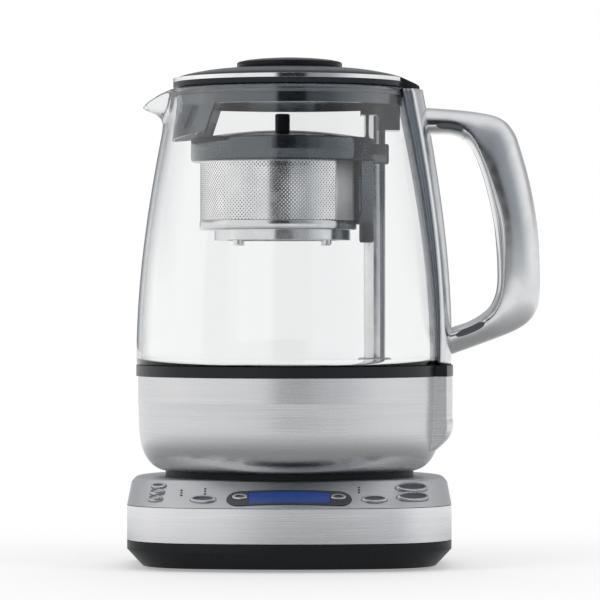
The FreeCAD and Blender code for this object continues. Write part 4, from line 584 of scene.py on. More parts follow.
def crossings(line, heart, angle):
    """Distances from a point to where a line of points is met, in one direction."""
    cx, cy = heart
    dx, dy = math.cos(angle), math.sin(angle)
    for (ax, ay), (bx, by) in zip(line, line[1:]):
        ca = dx * (ay - cy) - dy * (ax - cx)
        cb = dx * (by - cy) - dy * (bx - cx)
        if ca * cb <= 0 and ca != cb:
            t = ca / (ca - cb)
            yield (ax + (bx - ax) * t - cx) * dx + (ay + (by - ay) * t - cy) * dy


def through_points(pairs, at):
    """Smooth curve through (place, value) pairs, read at a place."""
    total = 0.0
    for i, (place, value) in enumerate(pairs):
        share = value
        for j, (other, _) in enumerate(pairs):
            if i != j:
                share *= (at - other) / (place - other)
        total += share
    return total


def along_points(pairs, at):
    """Straight runs through (place, value) pairs, level beyond both ends."""
    if at <= pairs[0][0]:
        return pairs[0][1]
    for (a, low), (b, high) in zip(pairs, pairs[1:]):
        if at <= b:
            t = (at - a) / (b - a)
            return low + (high - low) * t
    return pairs[-1][1]


# ---------------------------------------------------------------- glass
GLASS_PROFILE = [(103.7, 80.3), (126.7, 79.8), (164.0, 76.7), (205.7, 70.5), (248.2, 62.2)]
SPOUT_PROFILE = [(226.5, 66.8), (228.5, 66.5), (230.0, 66.5), (232.2, 67.2), (234.0, 68.9), (235.4, 71.2),
                 (236.4, 73.6), (237.3, 75.6), (238.4, 76.9), (239.4, 77.4), (249.0, 78.0)]


def glass_wall_radius(z, angle, half_angle):
    """Radius of the glass, in millimetres, with the spout drawn out on the -X side."""
    plain = through_points(GLASS_PROFILE, z)
    away = abs(abs(angle) - math.pi)
    if away >= half_angle or z <= SPOUT_PROFILE[0][0]:
        return plain
    swell = (0.5 + 0.5 * math.cos(math.pi * away / half_angle)) ** 1.35
    drawn = max(plain, along_points(SPOUT_PROFILE, z))
    return plain + (drawn - plain) * swell


def rim_height(angle, half_angle, drop):
    away = abs(abs(angle) - math.pi)
    if away >= half_angle:
        return GLASS_TOP_Z / MM
    share = 0.5 + 0.5 * math.cos(math.pi * away / half_angle)
    return GLASS_TOP_Z / MM - drop / MM * share ** 1.6


GLASS_COLUMNS = 288
GLASS_ROWS = 96
BEAD_STEPS = 6


def make_glass():
    settings = bpy.context.scene.teamaker_glass
    wall = settings.wall / MM
    low = GLASS_FOOT_Z / MM
    rounding = wall / 2
    points = []
    for step in range(GLASS_COLUMNS):
        angle = math.pi * (-1.0 + 2.0 * step / GLASS_COLUMNS)
        top = rim_height(angle, settings.spout_half_angle, settings.spout_drop) - rounding
        outer = []
        for row in range(GLASS_ROWS + 1):
            z = low + (top - low) * (row / GLASS_ROWS) ** 0.8
            outer.append((glass_wall_radius(z, angle, settings.spout_half_angle), z))
        inner = [(r - wall, z) for r, z in outer]
        middle = outer[-1][0] - rounding
        turns = [math.pi * part / BEAD_STEPS for part in range(1, BEAD_STEPS)]
        bead = [(middle + rounding * math.cos(turn), top + rounding * math.sin(turn)) for turn in turns]
        ring = outer + bead + inner[::-1]
        points += [(r * math.cos(angle) * MM, r * math.sin(angle) * MM, z * MM) for r, z in ring]
    faces = sweep_faces(GLASS_COLUMNS, len(ring))
    make_piece("glass_vessel", points, faces, "clear_glass", "jug", "clear_glass", ["glass_body"])


# ---------------------------------------------------------------- spine
SPINE_HALF = 24.2
SPINE_ROWS = 60
FLANK_RUN = 11.0       # how far the cover's flanks round in
LINER_GAP = 0.3        # between the liner and the glass
COVER_GAP = 0.1        # between the liner and the cover


def spine_reach(z):
    """Distance of the spine's back from the glass and the cover's thickness, in millimetres."""
    share = (z - SPINE_LOW_Z / MM) / ((SPINE_HIGH_Z - SPINE_LOW_Z) / MM)
    return 4.6 + 3.0 * share, 3.1 - 0.9 * share


def spine_piece(name, section, finish, slot, node):
    """Closed section, (distance from the glass, side) pairs at a height, drawn up along the glass."""
    rings = []
    for row in range(SPINE_ROWS + 1):
        z = (SPINE_LOW_Z + (SPINE_HIGH_Z - SPINE_LOW_Z) * row / SPINE_ROWS) / MM
        ring = []
        for out, side in section(z):
            r = through_points(GLASS_PROFILE, z) + out
            ring.append((math.sqrt(r * r - side * side) * MM, side * MM, z * MM))
        rings.append(ring)
    make_piece(name, *skin_rings(rings), finish, "jug", slot, [node])


def cover_section(z):
    """Steel cover with broad rounded flanks."""
    reach, sheet = spine_reach(z)
    half = []
    for step in range(13):
        turn = math.pi / 2 * step / 12
        half.append((reach - sheet * (1.0 - math.sin(turn)), SPINE_HALF - FLANK_RUN * (1.0 - math.cos(turn))))
    half += [(reach, SPINE_HALF - FLANK_RUN - 1.2 * step) for step in range(1, 11)]
    inner = [(reach - sheet, side) for side in (20.0, 14.0, 7.0, 0.0, -7.0, -14.0, -20.0)]
    return [(out, -side) for out, side in half] + half[::-1] + inner


LINER_BEADS = [(0.0, 1.4), (0.08, 0.5), (0.2, 0.1), (0.32, 0.5), (0.38, 1.3), (0.44, 0.7), (0.56, 0.2),
               (0.68, 0.6), (0.74, 1.4), (0.82, 0.8), (0.92, 0.5), (1.0, 0.6)]   # share of the width, depth


def liner_section(z):
    """Dark liner whose flanks carry two long beads."""
    reach, sheet = spine_reach(z)
    width = reach - sheet - COVER_GAP - LINER_GAP
    flank = [(LINER_GAP + width * place, SPINE_HALF - 0.5 - sunk) for place, sunk in LINER_BEADS]
    sides = (-20.0, -10.0, 0.0, 10.0, 20.0)
    outer = [(LINER_GAP + width, side) for side in sides]
    inner = [(LINER_GAP, side) for side in reversed(sides)]
    return [(out, -side) for out, side in flank] + outer + flank[::-1] + inner


# ---------------------------------------------------------------- handle
# outline of the loop and of the finger hole, side reach and height over the seat of the jug in millimetres
HANDLE_OUTSIDE = [(60.0, 193.4), (76.8, 192.5), (90.8, 191.4), (99.5, 190.3), (108.1, 188.4), (113.8, 185.2),
                  (118.0, 179.7), (120.3, 174.0), (124.8, 158.7), (128.1, 143.6), (130.3, 128.0), (131.2, 112.0),
                  (131.2, 95.8), (129.8, 87.0), (125.5, 80.7), (118.4, 76.0), (107.2, 71.4), (90.8, 65.4),
                  (68.0, 57.4), (60.0, 54.6)]
HANDLE_INSIDE = [(60.0, 178.6), (80.3, 178.8), (86.5, 178.2), (91.3, 176.1), (95.0, 172.6), (98.4, 166.0),
                 (102.0, 155.7), (104.9, 144.5), (107.0, 134.2), (108.2, 124.8), (109.1, 112.0), (109.1, 100.2),
                 (107.3, 92.6), (103.4, 86.7), (94.6, 81.0), (85.0, 77.6), (68.0, 71.3), (60.0, 68.4)]
HANDLE_HEART = (93.0, 128.0)
HANDLE_HALF = 12.9
STRIP_DEEP = 4.3
LOOP_ENDS = (math.radians(112.0), math.radians(-101.0))    # directions from the heart to the roots
STRIP_ENDS = (math.radians(91.5), math.radians(-78.5))
LOOP_STEPS = 180
SQUARENESS = 2.1       # 2 makes the section an oval


def smooth_line(points, parts):
    """Points along a curve that passes through all the given ones."""
    line = []
    for i in range(len(points) - 1):
        before = points[max(i - 1, 0)]
        after = points[min(i + 2, len(points) - 1)]
        a, b = points[i], points[i + 1]
        for step in range(parts):
            t = step / parts
            place = []
            for k in (0, 1):
                place.append(0.5 * (2 * a[k] + (b[k] - before[k]) * t
                                    + (2 * before[k] - 5 * a[k] + 4 * b[k] - after[k]) * t * t
                                    + (3 * a[k] - before[k] - 3 * b[k] + after[k]) * t ** 3))
            line.append(tuple(place))
    line.append(points[-1])
    return line


def reach_along(line, angle):
    """Distance from the heart of the loop to a line, in one direction."""
    for along in crossings(line, HANDLE_HEART, angle):
        if along > 0:
            return along
    raise ValueError("the handle's outline doesn't close")


def handle_section(angle, outside, inside):
    """How far the section across the loop starts and ends from the heart, and where it is widest."""
    far = reach_along(outside, angle)
    near = reach_along(inside, angle)
    return near, far, near + STRIP_DEEP + 0.5


def side_at(section, reach):
    """Half width of the section at a distance from the heart."""
    near, far, widest = section
    share = (reach - widest) / (far - widest) if reach > widest else (widest - reach) / (widest - near)
    return HANDLE_HALF * max(0.0, 1.0 - min(1.0, share) ** SQUARENESS) ** (1 / SQUARENESS)


def section_part(section, first, last, count):
    """Points of the section's -Y flank between two distances, packed closer towards its ends."""
    points = []
    for step in range(count + 1):
        share = 0.5 - 0.5 * math.cos(math.pi * step / count)
        reach = first + (last - first) * share
        points.append((reach, -side_at(section, reach)))
    return points


def both_sides(flank):
    """Closed ring of a flank and its mirror image."""
    ends = [1 if abs(flank[0][1]) < 1e-6 else 0, len(flank) - 1 if abs(flank[-1][1]) < 1e-6 else len(flank)]
    return flank + [(reach, -side) for reach, side in reversed(flank[ends[0]:ends[1]])]


def handle_point(angle, reach, side):
    cx, cz = HANDLE_HEART
    return ((cx + reach * math.cos(angle)) * MM, side * MM, (SEAT_MM + cz + reach * math.sin(angle)) * MM)


def make_handle():
    outside = smooth_line(HANDLE_OUTSIDE, 16)
    inside = smooth_line(HANDLE_INSIDE, 16)
    start, end = LOOP_ENDS
    strip_start, strip_end = STRIP_ENDS
    shell = []
    strip = []
    inlaid = False
    for step in range(LOOP_STEPS + 1):
        angle = start + (end - start) * step / LOOP_STEPS
        section = handle_section(angle, outside, inside)
        near, far, _ = section
        floor = near + STRIP_DEEP
        outer = section_part(section, floor, far, 20)
        plain = both_sides(section_part(section, near, floor, 8)[:-1] + outer)
        level = [(floor, -side_at(section, floor) * share / 8) for share in range(8)]
        cut = both_sides(level + outer)
        was_inlaid, inlaid = inlaid, strip_end <= angle <= strip_start
        rings = [cut if inlaid else plain]
        if inlaid and not was_inlaid:
            rings = [plain, cut]
        if was_inlaid and not inlaid:
            rings = [cut, plain]
        for ring in rings:
            shell.append([handle_point(angle, reach, side) for reach, side in ring])
        if inlaid:
            edge = floor - 0.2
            flank = section_part(section, near, edge, 12)
            level = [(edge, -side_at(section, edge) * share / 8) for share in range(7, -1, -1)]
            strip.append([handle_point(angle, reach, side) for reach, side in both_sides(flank + level)])
    for end_angle, place in ((strip_start, 0), (strip_end, len(strip))):
        past = end_angle + math.radians(0.8 if place == 0 else -0.8)
        middle = handle_section(past, outside, inside)[0] + STRIP_DEEP * 0.55
        cap = []
        for x, side, z in (strip[0] if place == 0 else strip[-1]):
            reach = math.hypot(x / MM - HANDLE_HEART[0], z / MM - SEAT_MM - HANDLE_HEART[1])
            cap.append(handle_point(past, middle + (reach - middle) * 0.8, side / MM * 0.93))
        strip.insert(place, cap)
    sharpen(make_piece("handle_loop", *skin_rings(shell), "handle_steel", "jug", "satin_polish", ["handle_shell"]))
    sharpen(make_piece("handle_strip", *skin_rings(strip), "strip_steel", "jug", "polished_steel",
                       ["handle_insert"]))
    return outside, inside


PAD_COLUMNS = 24
PAD_ROWS = 6
PAD_PROUD = 0.12       # how far the pads stand out of the steel


def make_painted_reflection_pads(outside, inside):
    """Dark lens-shaped pads low on both flanks of the arms, at their roots: painted dark reflections."""
    points = []
    faces = []
    for low, high, first, last in ((92.5, 106.5, 0.2, 0.4), (-96.5, -79.5, 0.22, 0.44)):
        for sign in (-1, 1):
            start = len(points)
            for step in range(PAD_COLUMNS + 1):
                share = step / PAD_COLUMNS
                angle = math.radians(low + (high - low) * share)
                section = handle_section(angle, outside, inside)
                near, far, _ = section
                swell = math.sqrt(max(0.0, 1 - (2 * share - 1) ** 4))
                middle = (first + last) / 2
                for row in range(PAD_ROWS + 1):
                    across = middle + (last - first) / 2 * swell * (2 * row / PAD_ROWS - 1)
                    reach = near + (far - near) * across
                    points.append(handle_point(angle, reach, sign * (side_at(section, reach) + PAD_PROUD)))
            for step in range(PAD_COLUMNS):
                for row in range(PAD_ROWS):
                    a = start + step * (PAD_ROWS + 1) + row
                    b = a + PAD_ROWS + 1
                    quad = (a, a + 1, b + 1, b)
                    faces.append(quad if sign > 0 else quad[::-1])
    pads = make_piece("handle_painted_reflection_pads", points, faces, "pad_grey", "jug", "inner_plastic", ["handle_pads"])
    thicken(pads, 0.5 * MM)


# ---------------------------------------------------------------- perforated sheets
def lattice(points, faces, place, columns, rows, first, last, share):
    """Diamond lattice with a diamond hole in each cell; place(u, v) gives a point for column u and row v."""
    known = {}

    def corner(u, v):
        key = (round(u * 4), round(v * 4))
        if key not in known:
            known[key] = len(points)
            points.append(place(u, v))
        return known[key]

    for row in range(rows):
        shift = 0.5 * (row % 2)
        for column in range(columns):
            middle = column + shift
            if not first <= middle <= last:
                continue
            outer = [corner(middle - 0.5, row), corner(middle, row - 1), corner(middle + 0.5, row),
                     corner(middle, row + 1)]
            start = len(points)
            for du, dv in ((-0.5, 0), (0, -1), (0.5, 0), (0, 1)):
                points.append(place(middle + du * share, row + dv * share))
            for side in range(4):
                after = (side + 1) % 4
                faces.append((outer[side], outer[after], start + after, start + side))


BASKET_RADIUS = 40.8 * MM


def make_basket_mesh():
    settings = bpy.context.scene.teamaker_basket
    low = WALL_LOW_Z + 4.4 * MM
    high = RING_LOW_Z + 1.0 * MM
    columns = settings.hole_columns
    cell = ROUND * BASKET_RADIUS / columns
    rows = int((high - low) / (cell / 2)) + 1
    step = (high - low) / (rows - 1)

    def place(u, v):
        angle = ROUND * u / columns
        z = min(max(low + v * step, low - step * 0.2), high + step * 0.2)
        return (WALL_MID_X + BASKET_RADIUS * math.cos(angle), BASKET_RADIUS * math.sin(angle), z)

    edge = settings.plain_angle / ROUND * columns
    points = []
    faces = []
    lattice(points, faces, place, columns, rows, edge, columns - edge, settings.hole_share)
    piece = make_piece("basket_mesh", points, faces, "mesh_steel", "basket", "mesh_steel", ["basket_wall"],
                       smooth=False)
    thicken(piece, settings.sheet)


def ring_strip(name, outline, middle_x, finish, slot, replaced=(), start=0, end=ROUND, steps=ROUND_STEPS):
    """Band of the basket: a closed outline, (radius, z) pairs in metres, turned from one angle to another."""
    whole = end - start > ROUND - 1e-6
    turns = steps if whole else steps + 1
    points = []
    for step in range(turns):
        angle = start + (end - start) * step / steps
        points += [(middle_x + r * math.cos(angle), r * math.sin(angle), z) for r, z in outline]
    count = len(outline)
    faces = sweep_faces(turns, count, whole)
    if not whole:
        faces.append(tuple(range(count)))
        last = (turns - 1) * count
        faces.append(tuple(last + index for index in reversed(range(count))))
    make_piece(name, points, faces, finish, "basket", slot, replaced)


RING_MIDDLE_X = -3.7 * MM


def make_basket_ring():
    """Ring with rounded edges, the collar round the post and the magnet pod under it."""
    profile = [(48.0, 210.9), (48.0, 221.3), (47.7, 221.9), (47.1, 222.2), (45.8, 222.2), (45.2, 221.9),
               (45.0, 221.3), (45.0, 212.6), (44.6, 212.0), (38.9, 212.0), (38.9, 209.8), (46.9, 209.8),
               (47.6, 210.1)]
    outline = [(r * MM, z * MM) for r, z in profile]
    ring_strip("basket_rim", outline, RING_MIDDLE_X, "ring_grey", "grey_plastic", ["basket_ring"])
    around_post("basket_collar", rounded_box(34.0, 51.9, 9.5, 1.6),
                [(208.6, 0.8), (209.2, 0.2), (209.8, 0.0), (218.0, 0.0), (218.8, 0.2), (219.1, 0.8)])
    pod = [(43.8, 0.0), (43.8, 14.6), (43.4, 15.4), (42.6, 15.8), (38.6, 15.8), (37.0, 15.2), (33.2, 9.4),
           (33.2, 0.0)]
    around_post("basket_pod", mirrored_outline(pod),
                [(177.1, 1.6), (177.5, 0.7), (178.6, 0.0), (205.5, 0.0), (209.9, -1.2)])
    tail = [(43.8, 0.0), (43.8, 6.8), (43.2, 7.5), (37.3, 7.5), (36.7, 6.8), (36.7, 0.0)]
    around_post("basket_tail", mirrored_outline(tail), [(167.7, 1.0), (168.6, 0.0), (178.5, 0.0)])


def mirrored_outline(half):
    """Closed outline in X and Y, in millimetres, from its +Y half."""
    return half + [(x, -y) for x, y in reversed(half[1:-1])]


def rounded_box(low, high, half, radius):
    """Outline of a box with rounded upright edges, in millimetres."""
    points = []
    for x, y, start in ((high - radius, half - radius, 0), (low + radius, half - radius, 1),
                        (low + radius, radius - half, 2), (high - radius, radius - half, 3)):
        for step in range(5):
            turn = math.pi / 2 * (start + step / 4)
            points.append((x + radius * math.cos(turn), y + radius * math.sin(turn)))
    return points


def outline_reach(outline, middle, turn):
    """Distance from a point inside an outline, on the X axis, to the outline in one direction."""
    return max([0.0, *crossings(outline + outline[:1], (middle, 0.0), turn)])


POST_X = 44.7          # axis of the lift post
PASSAGE = 6.1          # radius of the hole that the post goes through
PASSAGE_STEPS = 128


def around_post(name, outline, levels):
    """Upright piece of an outline, drawn in by a given amount at each height, with the post's passage cut out."""
    heart = sum(x for x, _ in outline) / len(outline)
    open_ended = max(x for x, _ in outline) < POST_X + PASSAGE
    rings = []
    for z, drawn_in in levels:
        ring = []
        for step in range(PASSAGE_STEPS):
            turn = ROUND * step / PASSAGE_STEPS
            reach = outline_reach(outline, heart, turn) - drawn_in
            x = heart + reach * math.cos(turn)
            y = reach * math.sin(turn)
            if open_ended and math.hypot(x - POST_X, y) < PASSAGE:
                x = POST_X - math.sqrt(max(PASSAGE * PASSAGE - y * y, 0.0))
            ring.append((x * MM, y * MM, z * MM))
        rings.append(ring)
    sharpen(make_piece(name, *skin_rings(rings), "ring_grey", "basket", "grey_plastic"))


def sheet_outline(radius, thickness, low, high):
    return [(radius, low), (radius, high), (radius - thickness, high), (radius - thickness, low)]


def make_basket_bands():
    """Plain bands of the basket wall: below the holes, above them and beside the post."""
    radius = BASKET_RADIUS
    sheet = 0.8 * MM
    low = WALL_LOW_Z
    mesh_low = low + 5.0 * MM
    high = RING_LOW_Z + 2.4 * MM
    mesh_high = RING_LOW_Z - 0.4 * MM
    lip = [(radius, low), (radius + 0.35 * MM, low + 0.5 * MM), (radius + 0.35 * MM, mesh_low - 0.8 * MM),
           (radius, mesh_low), (radius - sheet, mesh_low), (radius - sheet, low)]
    ring_strip("basket_low_band", lip, WALL_MID_X, "foot_steel", "mesh_steel")
    ring_strip("basket_high_band", sheet_outline(radius, sheet, mesh_high, high), WALL_MID_X, "foot_steel",
               "mesh_steel")
    # the plain panel beside the post takes a near-white finish, a painted highlight on the steel
    reach = bpy.context.scene.teamaker_basket.plain_angle + math.radians(1.5)
    panel = sheet_outline(radius + 0.1 * MM, sheet, mesh_low - 0.5 * MM, mesh_high + 0.5 * MM)
    ring_strip("basket_plain_panel", panel, WALL_MID_X, "panel_steel", "mesh_steel", start=-reach, end=reach,
               steps=48)


def strainer_point(turn, z, deep):
    """Point of the apron, which flares a little towards its lower edge."""
    high = STRAINER_TOP_Z
    share = (high - z) / (high - STRAINER_LOW_Z)
    r = (59.2 + 2.2 * max(share, 0.0)) * MM - deep
    return (-r * math.cos(turn), r * math.sin(turn), z)


def make_strainer():
    """Apron behind the spout: solid flap with a slanted window of fine holes on each flank."""
    sheet = 1.2 * MM
    high = STRAINER_TOP_Z
    top_reach, low_reach = math.radians(50.0), math.radians(45.0)
    window_low, window_high = 226.0 * MM, 238.2 * MM
    window = ((math.radians(27.4), math.radians(34.7)), (math.radians(34.1), math.radians(39.6)))
    points = []
    faces = []

    def lower_edge(turn):
        return STRAINER_LOW_Z - 1.8 * MM + 3.4 * MM * (abs(turn) / low_reach) ** 1.6

    def window_edge(side, z):
        share = (z - window_low) / (window_high - window_low)
        return window[0][side] + (window[1][side] - window[0][side]) * share

    def reach_at(z):
        share = (high - z) / (high - STRAINER_LOW_Z)
        return top_reach + (low_reach - top_reach) * min(max(share, 0.0), 1.0)

    def patch(low_line, high_line, steps):
        """Both skins and the edges between two lines of (turn, z) pairs."""
        start = len(points)
        for step in range(steps + 1):
            share = step / steps
            for line in (low_line, high_line):
                turn, z = line(share)
                points.append(strainer_point(turn, z, 0.0))
                points.append(strainer_point(turn, z, sheet))
        for step in range(steps):
            a = start + 4 * step
            b = a + 4
            faces.append((a, a + 2, b + 2, b))
            faces.append((a + 1, b + 1, b + 3, a + 3))
            faces.append((a, b, b + 1, a + 1))
            faces.append((a + 2, a + 3, b + 3, b + 2))
        a = start
        faces.append((a, a + 1, a + 3, a + 2))
        b = start + 4 * steps
        faces.append((b, b + 2, b + 3, b + 1))

    def level_line(z, first, last):
        return lambda share: (first + (last - first) * share, z)

    def even_line(z, reach):
        return level_line(z, -reach, reach)

    def foot_line(share):
        turn = low_reach * (2 * share - 1)
        return turn, lower_edge(turn)

    patch(foot_line, even_line(window_low, reach_at(window_low)), 56)
    patch(even_line(window_high, reach_at(window_high)), even_line(high, top_reach), 56)
    patch(even_line(window_low, window[0][0]), even_line(window_high, window[1][0]), 32)
    for sign in (-1, 1):
        patch(level_line(window_low, sign * window[0][1], sign * reach_at(window_low)),
              level_line(window_high, sign * window[1][1], sign * reach_at(window_high)), 10)
    sharpen(make_piece("strainer_apron", points, faces, "ring_grey", "lid", "grey_plastic", ["spout_strainer"]))
    cell = 1.15 * MM
    rows = int((window_high - window_low) / (cell / 2)) + 1
    step_z = (window_high - window_low) / (rows - 1)
    columns = 7
    for name, sign in (("strainer_mesh_front", -1), ("strainer_mesh_back", 1)):
        mesh_points = []
        mesh_faces = []

        def place(u, v):
            z = min(max(window_low + v * step_z, window_low), window_high)
            share = min(max(u / columns, 0.0), 1.0)
            first, last = window_edge(0, z), window_edge(1, z)
            return strainer_point(sign * (first + (last - first) * share), z, sheet / 2)

        lattice(mesh_points, mesh_faces, place, columns + 1, rows, 0, columns, 0.8 if sign < 0 else 0.93)
        mesh = make_piece(name, mesh_points, mesh_faces, "ring_grey", "lid", "grey_plastic", smooth=False)
        thicken(mesh, 0.25 * MM)


def turned_piece(name, profile, finish, slot, node):
    """Piece of the lid turned round the jug's axis from (radius, height) pairs in millimetres, axis to axis."""
    points = [(0.0, 0.0, profile[0][1] * MM), (0.0, 0.0, profile[-1][1] * MM)]
    rim = profile[1:-1]
    for step in range(ROUND_STEPS):
        angle = ROUND * step / ROUND_STEPS
        points += [(r * math.cos(angle) * MM, r * math.sin(angle) * MM, z * MM) for r, z in rim]
    faces = []
    count = len(rim)
    for step in range(ROUND_STEPS):
        here = 2 + step * count
        there = 2 + ((step + 1) % ROUND_STEPS) * count
        faces.append((0, there, here))
        faces.append((1, here + count - 1, there + count - 1))
        for index in range(count - 1):
            faces.append((here + index, there + index, there + index + 1, here + index + 1))
    sharpen(make_piece(name, points, faces, finish, "lid", slot, [node]), 35)


def make_lid_top():
    """Low domed cap with its tongue over the spine, and the disc knob on it."""
    cap = [(0.0, 248.5), (60.2, 248.5), (60.9, 248.9), (61.0, 249.4), (61.0, 251.6), (59.0, 251.6), (59.0, 253.7),
           (57.6, 254.7), (55.0, 255.5), (50.0, 256.6), (45.0, 257.5), (40.0, 258.2), (35.0, 258.7), (28.0, 259.2),
           (14.0, 259.7), (0.0, 259.9)]
    turned_piece("lid_dome", cap, "cap_smoke", "smoke_plastic", "lid_cap")
    knob = [(0.0, 258.4), (26.2, 258.4), (27.2, 258.8), (27.6, 259.4), (27.6, 261.6), (27.3, 262.2), (26.4, 262.6),
            (23.0, 263.3), (18.0, 263.9), (10.0, 264.5), (0.0, 264.7)]
    turned_piece("lid_disc_knob", knob, "knob_black", "gloss_black", "lid_knob")
    tongue = []
    for x, z, half in ((54.0, 255.4, 12.5), (57.6, 254.4, 12.5), (61.0, 252.9, 12.5), (66.0, 250.6, 12.0),
                       (67.6, 249.6, 11.0), (68.0, 248.8, 10.0)):
        ring = []
        for side in (-1.0, -0.96, -0.5, 0.0, 0.5, 0.96, 1.0):
            ring.append((x * MM, side * half * MM, (z - (0.6 if abs(side) == 1.0 else 0.0)) * MM))
        ring += [(x * MM, half * MM, min(z - 0.7, 248.5) * MM), (x * MM, -half * MM, min(z - 0.7, 248.5) * MM)]
        tongue.append(ring)
    sharpen(make_piece("lid_tongue", *skin_rings(tongue), "cap_smoke", "lid", "smoke_plastic"))


# ---------------------------------------------------------------- stage
def make_world():
    settings = bpy.context.scene.teamaker_stage
    world = bpy.data.worlds.new("studio_room")
    bpy.context.scene.world = world
    world.cycles.sampling_method = "NONE"
    world.use_nodes = True
    tree = world.node_tree
    tree.nodes.clear()
    output = tree.nodes.new("ShaderNodeOutputWorld")
    light = tree.nodes.new("ShaderNodeBackground")
    join(tree, light.outputs[0], output.inputs["Surface"])
    path = tree.nodes.new("ShaderNodeLightPath").outputs
    x, y, z = split_xyz(tree, tree.nodes.new("ShaderNodeTexCoord").outputs["Generated"])
    angle = math_node(tree, "ARCTAN2", x, times(tree, y, -1.0))
    round_room = math_node(tree, "ADD", math_node(tree, "DIVIDE", angle, ROUND), 0.5)
    ramp = tree.nodes.new("ShaderNodeValToRGB")
    turns = [(-180, 0.08), (-168, 0.3), (-155, 0.85), (-130, 1.1), (-95, 1.2), (-70, 1.05), (-50, 1.0), (-15, 0.95),
             (-10, 0.03), (0, 0.02), (15, 0.03), (19, 0.3), (42, 0.42), (58, 0.75), (75, 1.0), (95, 1.05),
             (130, 0.95), (155, 0.8), (168, 0.3), (180, 0.08)]
    stops = [(0.5 + turn / 360, value) for turn, value in turns]
    elements = ramp.color_ramp.elements
    while len(elements) < len(stops):
        elements.new(0.5)
    for element, (place, value) in zip(elements, stops):
        element.position = place
        element.color = (value * (0.9 + 0.1 * value), value, value * (1.12 - 0.12 * value), 1)
    join(tree, round_room, ramp.inputs["Fac"])
    behind = map_range(tree, y, 0.1, 0.5, 0.0, 1.0)
    risen = map_range(tree, z, 0.07, 0.16, 0.0, 1.0)
    shaded = mix_colors(tree, times(tree, behind, risen), ramp.outputs["Color"], (0.5, 0.51, 0.53, 1))
    overhead = map_range(tree, z, 0.6, 0.95, 0.0, 1.0)
    mirrored = mix_colors(tree, overhead, shaded, (0.95, 0.95, 0.96, 1))
    seen = math_node(tree, "MAXIMUM", path["Is Camera Ray"], path["Is Transmission Ray"])
    shiny = math_node(tree, "GREATER_THAN", path["Glossy Depth"], 0.5)
    level = settings.room_light
    plain = mix_colors(tree, seen, (level, level, level, 1), (1, 1, 1, 1))
    join(tree, mix_colors(tree, shiny, plain, mirrored), light.inputs["Color"])


def make_floor():
    settings = bpy.context.scene.teamaker_stage
    half = 12.0
    mesh = bpy.data.meshes.new("studio_floor")
    mesh.from_pydata([(-half, -half, 0), (half, -half, 0), (half, half, 0), (-half, half, 0)], [], [(0, 1, 2, 3)])
    floor = bpy.data.objects.new("studio_floor", mesh)
    bpy.context.scene.collection.objects.link(floor)
    material, shader = new_material("studio_paper")
    tree = material.node_tree
    shader.inputs["Base Color"].default_value = (*settings.floor_color, 1)
    shader.inputs["Roughness"].default_value = 0.9
    shader.inputs["Specular IOR Level"].default_value = 0.0
    output = next(n for n in tree.nodes if n.type == "OUTPUT_MATERIAL")
    glow = tree.nodes.new("ShaderNodeEmission")
    path = tree.nodes.new("ShaderNodeLightPath").outputs
    reach = vector_length(tree, object_position(tree))
    fade = map_range(tree, reach, 0.12, 0.5, 0.35, 1.0)
    seen = math_node(tree, "MAXIMUM", path["Is Camera Ray"], path["Is Glossy Ray"])
    seen = math_node(tree, "MAXIMUM", seen, path["Is Transmission Ray"])
    # for glossy rays the floor's glow darkens towards the object: a painted shadow that the steel and glass reflect
    near = map_range(tree, reach, 0.16, 0.6, 0.34, 1.0)
    join(tree, mix_colors(tree, path["Is Glossy Ray"], (1, 1, 1, 1), near), glow.inputs["Color"])
    share = math_node(tree, "MAXIMUM", times(tree, fade, seen), path["Is Glossy Ray"])
    mix = tree.nodes.new("ShaderNodeMixShader")
    join(tree, share, mix.inputs[0])
    join(tree, shader.outputs[0], mix.inputs[1])
    join(tree, glow.outputs[0], mix.inputs[2])
    join(tree, mix.outputs[0], output.inputs["Surface"])
    mesh.materials.append(material)


def area_light(name, place, target, size, power):
    lamp = bpy.data.lights.new(name, "AREA")
    lamp.shape = "RECTANGLE"
    lamp.size = size[0]
    lamp.size_y = size[1]
    lamp.energy = power
    holder = bpy.data.objects.new(name, lamp)
    holder.location = place
    holder.rotation_euler = (Vector(target) - Vector(place)).to_track_quat("-Z", "Y").to_euler()
    holder.visible_glossy = False
    holder.visible_transmission = False
    bpy.context.scene.collection.objects.link(holder)


def make_camera():
    settings = bpy.context.scene.teamaker_stage
    data = bpy.data.cameras.new("studio_camera")
    data.lens = settings.lens
    data.sensor_width = 36.0
    data.clip_end = 50.0
    camera = bpy.data.objects.new("studio_camera", data)
    camera.location = (settings.camera_x, -settings.camera_y, settings.camera_z)
    camera.rotation_euler = (math.pi / 2, 0, 0)
    bpy.context.scene.collection.objects.link(camera)
    bpy.context.scene.camera = camera


# ---------------------------------------------------------------- operators
class TEAMAKER_OT_stage(bpy.types.Operator):
    """Floor, room light, lamps and camera"""
    bl_idname = "teamaker.stage"
    bl_label = "Stage"

    def execute(self, context):
        context.scene.view_settings.view_transform = "Standard"
        make_world()
        make_floor()
        area_light("left_softbox", (-1.3, -0.9, 0.9), (0, 0, 0.13), (0.7, 1.2), 7.0)
        area_light("right_softbox", (1.4, -0.8, 0.8), (0, 0, 0.13), (0.6, 1.2), 5.5)
        area_light("back_softbox", (0.2, 1.4, 1.3), (0, 0, 0.1), (1.4, 0.8), 8.0)
        make_camera()
        return {"FINISHED"}


class TEAMAKER_OT_base(bpy.types.Operator):
    """Plinth, steel band, top, feet, cord inlet and connector of the power base"""
    bl_idname = "teamaker.base"
    bl_label = "Power base"

    def execute(self, context):
        dress("plinth_black", "base_plinth")
        dress("foot_rubber", "rubber_feet", "cord_inlet")
        dress("zinc_steel", "base_screws")
        dress("band_steel", "side_band")
        dress("top_steel", "top_plate")
        dress("inner_grey", "panel_carrier", "button_switches")
        dress("board_green", "control_board")
        dress("cover_black", "connector_plug")
        return {"FINISHED"}


